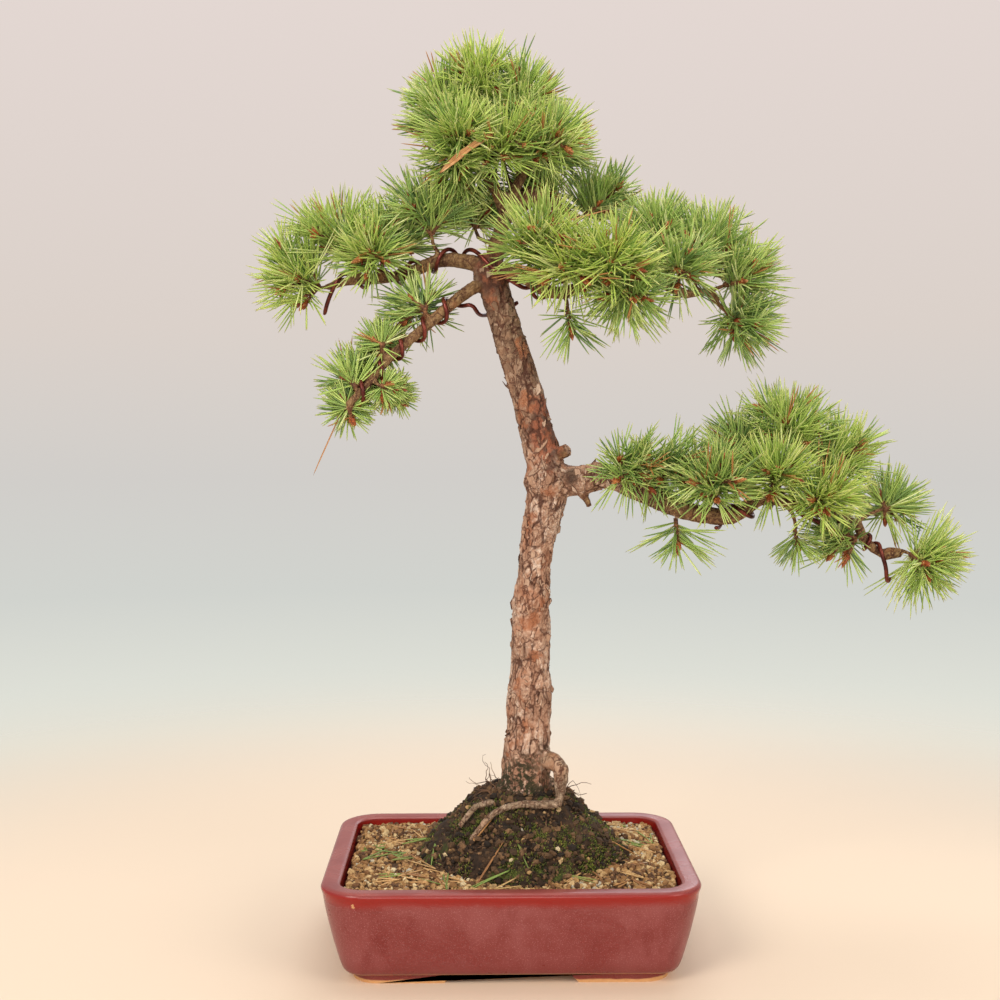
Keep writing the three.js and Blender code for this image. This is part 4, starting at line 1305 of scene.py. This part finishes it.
# %% Wires
def wire_finish():
    wire, surface = new_finish("copper_brown_wire", 0.36, Metallic=0.55)
    where = places(wire)
    rubbed = grain(wire, where, 130, detail=4)
    tint = toned(wire, rubbed, [(0.3, "3f1815"), (0.5, "672a22"), (0.68, "8d4434")])
    scratch = grain(wire, where, 1300)
    rough = between(wire, scratch, 0.3, 0.75, 0.28, 0.48)
    return wear(wire, surface, base=tint, rough=rough, height=scratch, depth=0.08 * MM, strength=0.4)


THINNED = 0.2 * MM  # what rounding takes off the wire


def draw_wire(node, finish):
    name = node + "_round"
    wire = new_piece(name, welded_copy(node, name), [node])
    with opened(wire.data) as bm:
        limits = {"angle_face_threshold": 0.6, "angle_shape_threshold": 0.9}
        bmesh.ops.join_triangles(bm, faces=bm.faces[:], **limits)
    rounder = wire.modifiers.new("rounder", "SUBSURF")
    rounder.levels = rounder.render_levels = 1
    settled(wire)
    spots, normals = vertex_rows(wire.data)
    move_vertices(wire.data, spots + normals * THINNED)
    coat(wire.data, finish)
    smoothly(wire.data)
    return wire


copper_brown = wire_finish()
wires = [draw_wire(node, copper_brown) for node in ("wire_upper", "wire_left_lower", "wire_bough")]
print("wires:", [len(wire.data.polygons) for wire in wires], "faces")

# %% [markdown]
# ## Needles
#
# This pine carries its needles in pairs, 3 to 5 cm long, all round the last inches of each shoot, and
# each shoot ends in a cluster of rust-brown buds. A picture of needles on cards would look flat from
# the side, so every needle is a real three-sided blade with sixteen faces, bent a little. Each tuft of
# the frame says where its twig ends, which way it points and how far its needles reach. The needles of
# the top, the front and the outer bough are yellower, and they are also painted lighter, as painted
# light from above and in front.

# %% Needle, bud and shoot shapes
BLADE = [(0, 0.42), (0.12, 0.5), (0.4, 0.5), (0.72, 0.46), (0.92, 0.3), (1, 0.0)]  # (height, radius)
BUD = [(0, 0.3), (0.15, 0.46), (0.4, 0.5), (0.7, 0.34), (0.9, 0.14), (1, 0.0)]
SHOOT = [(0, 0.5), (0.3, 0.54), (0.34, 0.47), (0.65, 0.5), (0.69, 0.42), (1, 0.36)]
needle_shape = tube_shape(3, BLADE)
bud_shape = tube_shape(6, BUD, 1)
scale_shape = tube_shape(3, [(0, 0.32), (0.35, 0.5), (1, 0.0)], 1)
shoot_shape = tube_shape(6, SHOOT, 2)
print("needle", needle_shape.faces, "bud", bud_shape.faces, "shoot", shoot_shape.faces, "faces")


# %% Needle, bud and shoot finishes
def needle_finish():
    needle, surface = new_finish("pine_needle", 0.42)
    tone, yellow_and_painted_light, along = (number_of(needle, channel) for channel in (0, 1, 2))
    # painted light: shade and bright are a shaded and a lit copy of the needle greens. The lit copy is also
    # yellower, and the tuft's second stored number mixes the two.
    shade = toned(needle, tone, [(0.05, "54744a"), (0.35, "86aa5c"), (0.7, "b3cf72"), (1.0, "dbe6a4")])
    bright = toned(needle, tone, [(0.05, "83a44b"), (0.35, "b6d05d"), (0.7, "d5e575"), (1.0, "edf1a8")])
    green = blend(needle, yellow_and_painted_light, shade, bright)
    stripe = grain(needle, places(needle), 600, detail=2)
    green = blend(needle, between(needle, stripe, 0.4, 0.7, 0, 0.35), green, colour("9bb06a"))
    green = blend(needle, between(needle, along, 0.8, 1.0, 0, 0.75), green, colour("c9c276"))
    green = blend(needle, between(needle, along, 0.16, 0.03, 0, 0.85), green, colour("a98a55"))
    dead = between(needle, tone, 0.018, 0.012)
    green = blend(needle, dead, green, colour("b8814c"))
    return wear(needle, surface, base=green, height=stripe, depth=0.1 * MM, strength=0.3)


def bud_finish():
    bud, surface = new_finish("pine_bud", 0.6)
    rusts = [(0.0, "7d3418"), (0.4, "b05526"), (0.75, "d27a3a"), (1.0, "e5ab6c")]
    base = toned(bud, number_of(bud, 0), rusts)
    scales = cells(bud, places(bud), 850)
    base = blend(bud, between(bud, scales, 0.25, 0.6, 0, 0.6), base, colour("5b2714"))
    base = blend(bud, between(bud, number_of(bud, 2), 0.75, 1.0, 0, 0.5), base, colour("e0b27c"))
    return wear(bud, surface, base=base, height=scales, depth=0.3 * MM, strength=0.8)


def shoot_finish():
    shoot, surface = new_finish("pine_shoot", 0.8)
    where = places(shoot)
    flakes = cells(shoot, where, 620)
    scurf = grain(shoot, where, 200, detail=4)
    base = toned(shoot, scurf, [(0.3, "5e3a26"), (0.5, "8a5a3a"), (0.7, "ad7c52")])
    base = blend(shoot, between(shoot, flakes, 0.35, 0.65, 0, 0.6), base, colour("44281a"))
    return wear(shoot, surface, base=base, height=flakes, depth=0.4 * MM, strength=0.9)


tuft_finishes = (needle_finish(), bud_finish(), shoot_finish())
print("three finishes for a tuft")

# %% Habit of each tuft
# The first number says how yellow its needles are and how much lighter they are painted, as painted
# light. hug: how far out along its twig it is centred. shift: where it has been bent to, in millimetres.
# reach: how long its needles are. facing: how far it turns to the front. strays: ways in which single
# dead needles stick out. sparse: one thin shoot only.
PLAIN = dict(yellow_and_painted_light=0.32, hug=0.68, shift=(0, 0, 0), reach=1.14, facing=0.0, strays=(), sparse=False)
HABITS = {
    "back_high": dict(shift=(-16, 0, -6), strays=[(0.55, 0, 0.8), (0.3, 0, 1)]),
    "bough_bright": dict(yellow_and_painted_light=0.9, shift=(0, 3, 2), facing=0.9),
    "bough_crest": dict(yellow_and_painted_light=0.5, hug=0.85, facing=0.3),
    "bough_drop": dict(sparse=True),
    "bough_face": dict(shift=(0, 4, 4), facing=0.8),
    "bough_first": dict(hug=0.55, shift=(10, -12, -13), facing=0.6),
    "bough_front": dict(yellow_and_painted_light=0.75, shift=(0, 3, 0), facing=0.9),
    "bough_hanging": dict(sparse=True),
    "bough_late": dict(yellow_and_painted_light=0.5, shift=(-8, 6, -4), reach=1.15),
    "bough_outer": dict(yellow_and_painted_light=0.55),
    "bough_second": dict(hug=0.55, shift=(6, -13, -15), facing=0.7),
    "bough_third": dict(shift=(0, -10, -12)),
    "bough_tip": dict(yellow_and_painted_light=0.6, hug=0.75, shift=(-8, 0, 5), reach=1.25, facing=0.3),
    "bough_under": dict(shift=(0, 12, 4)),
    "crown_front": dict(yellow_and_painted_light=0.75, hug=0.95, facing=0.7),
    "crown_front_left": dict(yellow_and_painted_light=0.7, hug=0.95, facing=0.7),
    "crown_front_right": dict(yellow_and_painted_light=0.6, hug=0.95, facing=0.6),
    "crown_left": dict(yellow_and_painted_light=0.6, hug=0.85, reach=0.95),
    "crown_low_left": dict(shift=(12, -4, -4), reach=1.3),
    "crown_right": dict(hug=0.75, shift=(-6, 0, -4), reach=0.95),
    "crown_top": dict(yellow_and_painted_light=0.9, hug=1.0, shift=(0, 0, -5), reach=0.98),
    "crown_top_left": dict(yellow_and_painted_light=0.6, hug=0.95, reach=0.95),
    "crown_top_right": dict(yellow_and_painted_light=0.6, hug=0.95, reach=0.98),
    "far_face": dict(shift=(-4, -8, -6), facing=1.2),
    "front_drop": dict(sparse=True),
    "front_inner": dict(yellow_and_painted_light=0.75, shift=(-8, -14, 4), reach=1.35, facing=1.0, strays=[(1, -0.3, 0.25)]),
    "front_low": dict(yellow_and_painted_light=0.5, shift=(-6, -10, -8), facing=0.9),
    "front_mid": dict(yellow_and_painted_light=1.0, shift=(-12, -14, -14), reach=1.3, facing=1.3),
    "front_outer": dict(yellow_and_painted_light=1.0, shift=(-10, -12, -12), reach=1.25, facing=1.1),
    "left_back": dict(hug=0.85),
    "left_front": dict(yellow_and_painted_light=0.6, shift=(0, -6, -6), facing=0.7),
    "left_high": dict(yellow_and_painted_light=0.55, hug=0.85, shift=(-4, 0, 2), reach=1.2),
    "left_low_drop": dict(hug=0.5, shift=(0, 12, 8), reach=0.75, strays=[(-0.45, -0.1, -1)]),
    "left_low_inner": dict(hug=0.6, shift=(4, 18, -4), reach=0.65),
    "left_low_mid": dict(hug=0.5, shift=(-8, 22, -8), reach=0.85),
    "left_low_outer": dict(hug=0.5, shift=(0, 24, -8), reach=0.7),
    "left_low_tip": dict(yellow_and_painted_light=0.5, hug=0.55, shift=(5, 16, -3), reach=0.95, facing=-0.2),
    "left_tip": dict(yellow_and_painted_light=0.85, hug=0.9, shift=(4, 0, 4), reach=1.25, facing=0.3),
}
print(len(HABITS), "tufts have habits of their own")

# %% Size and outline of a tuft
FRONT = Vector((0, -1, 0))


def measure_tuft(node, habit):
    """Where a tuft leaves its branch, where its twig ends, its middle, and its two half sizes."""
    bm = bmesh.new()
    bm.from_mesh(NODES[node].data)
    bmesh.ops.remove_doubles(bm, verts=bm.verts, dist=2e-6)
    spots = np.array([v.co for v in bm.verts])
    bm.free()
    middle = Vector((spots.min(0) + spots.max(0)) / 2)
    base, tip = BRANCHES.find(middle)[0], WOOD.find_nearest(middle)[0]
    axis = (middle - base).normalized()
    away = spots - np.array(middle)
    ahead = away @ np.array(axis)
    along = np.abs(ahead).max()
    across = np.linalg.norm(away - np.outer(ahead, np.array(axis)), axis=1).max()
    middle = base.lerp(middle, habit["hug"]) + Vector(habit["shift"]) * MM
    return base, tip, middle, along * habit["reach"], across * habit["reach"]


def tilted(axis, angle, turn):
    """The axis leaned over by an angle, towards any side."""
    side = axis.orthogonal().normalized()
    side.rotate(Matrix.Rotation(turn, 3, axis))
    return (axis * math.cos(angle) + side * math.sin(angle)).normalized()


def reach(start, way, middle, axis, along, across):
    """How far it is from start to the tuft's rounded outline."""
    def squeezed(vector):
        part = vector.dot(axis)
        return (vector - axis * part) / across + axis * (part / along)

    a, b = squeezed(way), squeezed(start - middle)
    half, rest = a.dot(b), b.dot(b) - 1
    inside = half * half - a.dot(a) * rest
    return 0 if inside <= 0 else (-half + math.sqrt(inside)) / a.dot(a)


print("a tuft can be measured")

# %% Needles on a shoot
NEEDLE_WIDE = 1.25 * MM
NEXT_TURN = 2.4  # from one pair to the next round the shoot, in radians
LENGTHS = (0.75, 0.95, 1.05, 1.18, 1.34)  # years of growth, as shares of the tuft's reach


def bear_pair(heap, draw, at, out, length, yellow_and_painted_light):
    """Two needles from one sheath."""
    tone = held(draw.gauss(0.5, 0.26), 0.03) if draw.random() > 0.022 else 0.0
    bow, spin, spread = draw.uniform(-0.16, 0.2), draw.uniform(0, math.tau), draw.uniform(0.04, 0.14)
    for turn in (-spread, spread):
        long = length * draw.uniform(0.92, 1.04)
        place = aimed(at, tilted(out, turn, spin), long, NEEDLE_WIDE, spin)
        heap.drop(needle_shape, place, tone, yellow_and_painted_light, bow * long / NEEDLE_WIDE * 0.25)


def bear_needles(heap, draw, shoot, size, yellow_and_painted_light, pairs, bare=0.12):
    """Pairs of needles round a shoot from where it is no longer bare to its end."""
    start, end = shoot
    stem = end - start
    way = stem.normalized()
    for i in range(pairs):
        share = (i + draw.random()) / pairs
        at = start + stem * (bare + (1 - bare) * share)
        lean = math.radians(draw.uniform(48, 84) - 32 * share)
        out = tilted(way, lean, i * NEXT_TURN + draw.uniform(-0.5, 0.5))
        out = (out + UP * 0.14).normalized()
        if out.z < -0.3 and size[1].z > -0.3 and draw.random() < 0.6:
            continue
        length = reach(at, out, *size) * draw.choice(LENGTHS) * draw.uniform(0.92, 1.08)
        shortest = min(draw.uniform(22, 32) * MM, 1.1 * size[3])
        length = held(length, shortest, draw.uniform(44, 54) * MM)
        if WOOD.ray_cast(at + out * 5 * MM, out, length)[0] is None:
            bear_pair(heap, draw, at, out, length, yellow_and_painted_light)


BUD_WIDE, SCALE_WIDE = 3.8 * MM, 1.9 * MM


def set_buds(heap, draw, end, way):
    """A cluster of rust-brown buds, with brown scales round its foot."""
    for k in range(3):
        aside = way if k == 0 else tilted(way, draw.uniform(0.35, 0.6), k * 2.6 + draw.uniform(-0.4, 0.4))
        long = draw.uniform(8, 11) * MM if k == 0 else draw.uniform(5.5, 8) * MM
        heap.drop(bud_shape, aimed(end - way * 1.5 * MM, aside, long, BUD_WIDE), draw.uniform(0.25, 0.95))
    for k in range(6):
        aside = tilted(way, draw.uniform(0.5, 1.1), k * 1.05 + draw.uniform(-0.3, 0.3))
        place = aimed(end - way * 2.5 * MM, aside, draw.uniform(4, 7) * MM, SCALE_WIDE)
        heap.drop(scale_shape, place, draw.random())


print("needles come in pairs,", NEEDLE_WIDE / MM, "mm wide")

# %% Grow the tufts
SHOOT_WIDE, SHORTEST_SHOOT, STRAY_LONG = 3.1 * MM, 8 * MM, 54 * MM
LEADING_PAIRS, STEM_PAIRS, SIDE_PAIRS, SIDE_SHOOTS = 30, 18, 20, 7


def side_shoots(draw, base, tip, end, axis, across):
    """(start, end, needle pairs) of the shoots that leave a twig and its leading shoot."""
    for k in range(SIDE_SHOOTS):
        root = base.lerp(tip, 0.35 + 0.2 * k) if k < 3 else tip.lerp(end, 0.18 * (k - 2))
        lean = math.radians(draw.uniform(36, 72))
        way = tilted(axis, lean, k * NEXT_TURN + draw.uniform(-0.4, 0.4))
        yield root, root + way * draw.uniform(0.36, 0.6) * across, SIDE_PAIRS


def grow_tuft(node):
    draw = random.Random(node)
    habit = PLAIN | HABITS.get(node.removeprefix("tuft_"), {})
    base, tip, middle, along, across = measure_tuft(node, habit)
    axis = ((middle - base).normalized() + FRONT * habit["facing"]).normalized()
    size = (middle, axis, along, across)
    yellow_and_painted_light = held(habit["yellow_and_painted_light"] + draw.uniform(-0.08, 0.08))
    end = middle + axis * along * 0.3
    if (end - tip).dot(axis) < SHORTEST_SHOOT:
        end = tip + axis * SHORTEST_SHOOT
    shoots = [(tip, end, LEADING_PAIRS)]
    if not habit["sparse"]:
        shoots += [(base, tip.lerp(end, 0.2), STEM_PAIRS), *side_shoots(draw, base, tip, end, axis, across)]
    heap = Heap()
    for k, (start, finish, pairs) in enumerate(shoots):
        stem = finish - start
        way = stem.normalized()
        if k != 1:  # the stem behind the leading shoot is part of the wood
            place = aimed(start - way * MM, stem, stem.length, SHOOT_WIDE)
            heap.drop(shoot_shape, place, draw.random())
            set_buds(heap, draw, finish, way)
        bear_needles(heap, draw, (start, finish), size, yellow_and_painted_light, pairs)
    for stray in habit["strays"]:
        place = aimed(end, Vector(stray).normalized(), STRAY_LONG, NEEDLE_WIDE)
        heap.drop(needle_shape, place, 0.0, yellow_and_painted_light, 1.8)
    name = node.replace("tuft_", "needles_")
    return new_piece(name, heap.mesh(name, *tuft_finishes), [node])


tufts = [grow_tuft(node) for node in sorted(NODES) if node.startswith("tuft_")]
print(len(tufts), "tufts with", sum(len(tuft.data.polygons) for tuft in tufts), "faces")

# %% [markdown]
# ## What has fallen and what has caught
#
# A long dead leaf from another tree has caught in the crown, brown needle pairs lie on the grit, and
# wiry old roots stick out of the root ball. They are small, but a tree without them looks like a toy.
# The leaf is a grid narrowed to its outline, folded along its rib and given a thickness. The fallen
# needles are dropped so that both ends rest on what is under them.

# %% Dead leaf
def leaf_finish():
    leaf, surface = new_finish("dead_leaf", 0.7)
    where = places(leaf)
    mottle = grain(leaf, where, 130, detail=4)
    base = toned(leaf, mottle, [(0.3, "a5703f"), (0.5, "c8955f"), (0.7, "dcb488")])
    rib = between(leaf, number_of(leaf, 0), 0.12, 0.04)
    base = blend(leaf, rib, base, colour("8a5428"))
    edge = between(leaf, number_of(leaf, 0), 0.82, 1.0, 0, 0.6)
    base = blend(leaf, edge, base, colour("8f5a30"))
    veins = grain(leaf, places(leaf, (1, 0.4, 1)), 700)
    return wear(leaf, surface, base=base, height=veins, depth=0.15 * MM, strength=0.7)


LEAF_HALF, LEAF_SAG = 3.0 * MM, 4 * MM


def curl_leaf():
    """A blade from corner to corner of the leaf's box, folded on its rib, twisted and sagging."""
    low, high = (Vector(corner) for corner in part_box("dead_leaf"))
    depth = (low.y + high.y) / 2
    start = Vector((low.x + 2 * MM, depth, low.z + 2 * MM))
    end = Vector((high.x - 2 * MM, depth, high.z - 2 * MM))
    bm = bmesh.new()
    bmesh.ops.create_grid(bm, x_segments=22, y_segments=6, size=1)
    shares = {}
    for vertex in bm.verts:
        along, aside = (vertex.co.x + 1) / 2, vertex.co.y
        waist = 1 - 0.35 * math.sin(math.pi * along) ** 6
        half = LEAF_HALF * waist * math.sin(math.pi * (0.03 + 0.94 * along)) ** 0.75
        twist = math.radians(-35 + 80 * along)
        across = Vector((0.5, -math.sin(twist), -math.cos(twist))).normalized()
        fold = FRONT * (abs(aside) * half * 0.55)
        sag = Vector((0.3, -1, 0.6)) * LEAF_SAG * math.sin(math.pi * along)
        vertex.co = start.lerp(end, along) + across * aside * half + fold + sag
        shares[vertex.index] = abs(aside)
    bm.verts.index_update()
    numbers = [shares[k] for k in sorted(shares)]
    mesh = mesh_from(bm, "dead_leaf_blade", leaf_finish())
    table = np.ones((len(numbers), 4))
    table[:, 0] = numbers
    paint_vertices(mesh, "item", table)
    leaf = new_piece("dead_leaf_blade", mesh, ["dead_leaf"])
    thicken = leaf.modifiers.new("thicken", "SOLIDIFY")
    thicken.thickness = 0.35 * MM
    thicken.offset = 0
    settled(leaf)
    smoothly(leaf.data)
    return leaf


leaf = curl_leaf()
print("leaf:", len(leaf.data.polygons), "faces")


# %% Fallen needles
def litter_finish():
    litter, surface = new_finish("fallen_needle", 0.6)
    brown = [(0.0, "8a5a34"), (0.25, "b98751"), (0.5, "d3ab74")]
    green = [(0.58, "8f8f45"), (0.75, "6f8c40"), (1.0, "93a957")]
    base = toned(litter, number_of(litter, 0), brown + green)
    blotch = grain(litter, places(litter), 260)
    base = blend(litter, between(litter, blotch, 0.5, 0.7, 0, 0.5), base, colour("7d5230"))
    return wear(litter, surface, base=base, height=blotch, depth=0.1 * MM, strength=0.3)


def strew_needles(seed, count):
    draw = random.Random(seed)
    heap = Heap()
    low, high = SOIL_LOW, SOIL_HIGH
    while count > 0:
        x = draw.uniform(low.x + 6 * MM, high.x - 6 * MM)
        y = draw.uniform(low.y + 6 * MM, high.y - 6 * MM)
        turn, length = draw.uniform(0, math.tau), draw.triangular(10, 36, 17) * MM
        tone = draw.uniform(0, 0.52) if draw.random() < 0.76 else draw.uniform(0.6, 1)
        ends = []
        for aside in (0.0, draw.uniform(0.05, 0.5)):
            tip = Vector((x + length * math.cos(turn + aside), y + length * math.sin(turn + aside)))
            ends.append(drop_to(GROUND, *tip)[0])
        start = drop_to(GROUND, x, y)[0]
        if start is None or None in ends or min(end.z for end in ends) < high.z - 6 * MM:
            continue
        if start.z > high.z + 5 * MM and draw.random() < 0.8:
            continue
        if draw.random() < 0.25:
            ends.pop()
        count -= 1
        lift = UP * draw.uniform(1.2, 2.4) * MM
        for end in ends:
            way = end - start
            bend = draw.uniform(-0.06, 0.06) * length / (1.5 * MM)
            place = aimed(start + lift, way, way.length, 1.3 * MM, draw.uniform(0, 6))
            heap.drop(needle_shape, place, tone, 0.5, bend)
    return heap.mesh("fallen_needles", litter_finish())


litter = new_piece("fallen_needles", strew_needles(41, 76))
print("fallen needles:", len(litter.data.polygons), "faces")


# %% Wiry roots
def root_finish():
    root, surface = new_finish("fine_root", 0.8)
    base = toned(root, grain(root, places(root), 60), [(0.3, "2c1e14"), (0.5, "54392a"), (0.7, "9a7354")])
    blotch = grain(root, places(root), 420)
    base = blend(root, between(root, blotch, 0.45, 0.7, 0, 0.5), base, colour("33241a"))
    return wear(root, surface, base=base, height=blotch, depth=0.15 * MM, strength=0.6)


TRUNK_FOOT = Vector((POT_FOOT.x + 12 * MM, POT_FOOT.y - 2 * MM, MOUND_HIGH.z))


def wander(draw, spot, way, steps, stride, hold):
    """Points of a root that wanders; hold keeps it near the mound's surface."""
    route = [spot.copy()]
    for _ in range(steps):
        way = (way + Vector([draw.gauss(0, 0.45) for _ in range(3)])).normalized()
        spot = spot + way * stride
        under, _ = drop_to(MOUND, spot.x, spot.y)
        if under is not None and (hold or spot.z < under.z):
            spot = Vector((spot.x, spot.y, under.z + 0.9 * MM))
        route.append(spot)
    return route


print("roots start round", [round(n, 3) for n in TRUNK_FOOT])

# %% Grow the roots
def root_route(draw, standing):
    """Where one root runs: along the mound, or up and away from the trunk's foot."""
    spot, _ = mound_spot(draw)
    wide, steps, stride = draw.uniform(0.3, 0.6) * MM, 6, draw.uniform(2, 4) * MM
    way = Vector((draw.uniform(-1, 1), draw.uniform(-1, 1), -0.2))
    if standing:
        side = -1 if draw.random() < 0.7 else 1
        x = TRUNK_FOOT.x + side * draw.uniform(14, 30) * MM
        y = TRUNK_FOOT.y + draw.uniform(-16, 12) * MM
        spot, _ = drop_to(MOUND, x, y)
        steps = 8
        way = Vector((side * draw.uniform(0.5, 1.2), draw.uniform(-0.7, 0.4), draw.uniform(0.2, 1.1)))
    return wander(draw, spot, way.normalized(), steps, stride, not standing), wide


def grow_roots(seed, lying, standing):
    """Roots drawn as one curve, thinner towards their tips, and made into closed tubes."""
    draw = random.Random(seed)
    curve = bpy.data.curves.new("fine_roots", "CURVE")
    curve.dimensions = "3D"
    curve.bevel_depth, curve.bevel_resolution, curve.use_fill_caps = 1, 0, True
    for k in range(lying + standing):
        route, wide = root_route(draw, k >= lying)
        spline = curve.splines.new("POLY")
        spline.points.add(len(route) - 1)
        for i, (point, place) in enumerate(zip(spline.points, route)):
            point.co = (*place, 1)
            point.radius = wide * (1 - 0.75 * i / len(route))
    strands = put("fine_roots", curve)
    graph = bpy.context.evaluated_depsgraph_get()
    mesh = bpy.data.meshes.new_from_object(strands.evaluated_get(graph))
    bpy.data.objects.remove(strands)
    coat(mesh, root_finish())
    with opened(mesh) as bm:
        bmesh.ops.remove_doubles(bm, verts=bm.verts, dist=1e-6)
    smoothly(mesh)
    return mesh


fine_roots = new_piece("fine_roots", grow_roots(51, 120, 36))
print("fine roots:", len(fine_roots.data.polygons), "faces")
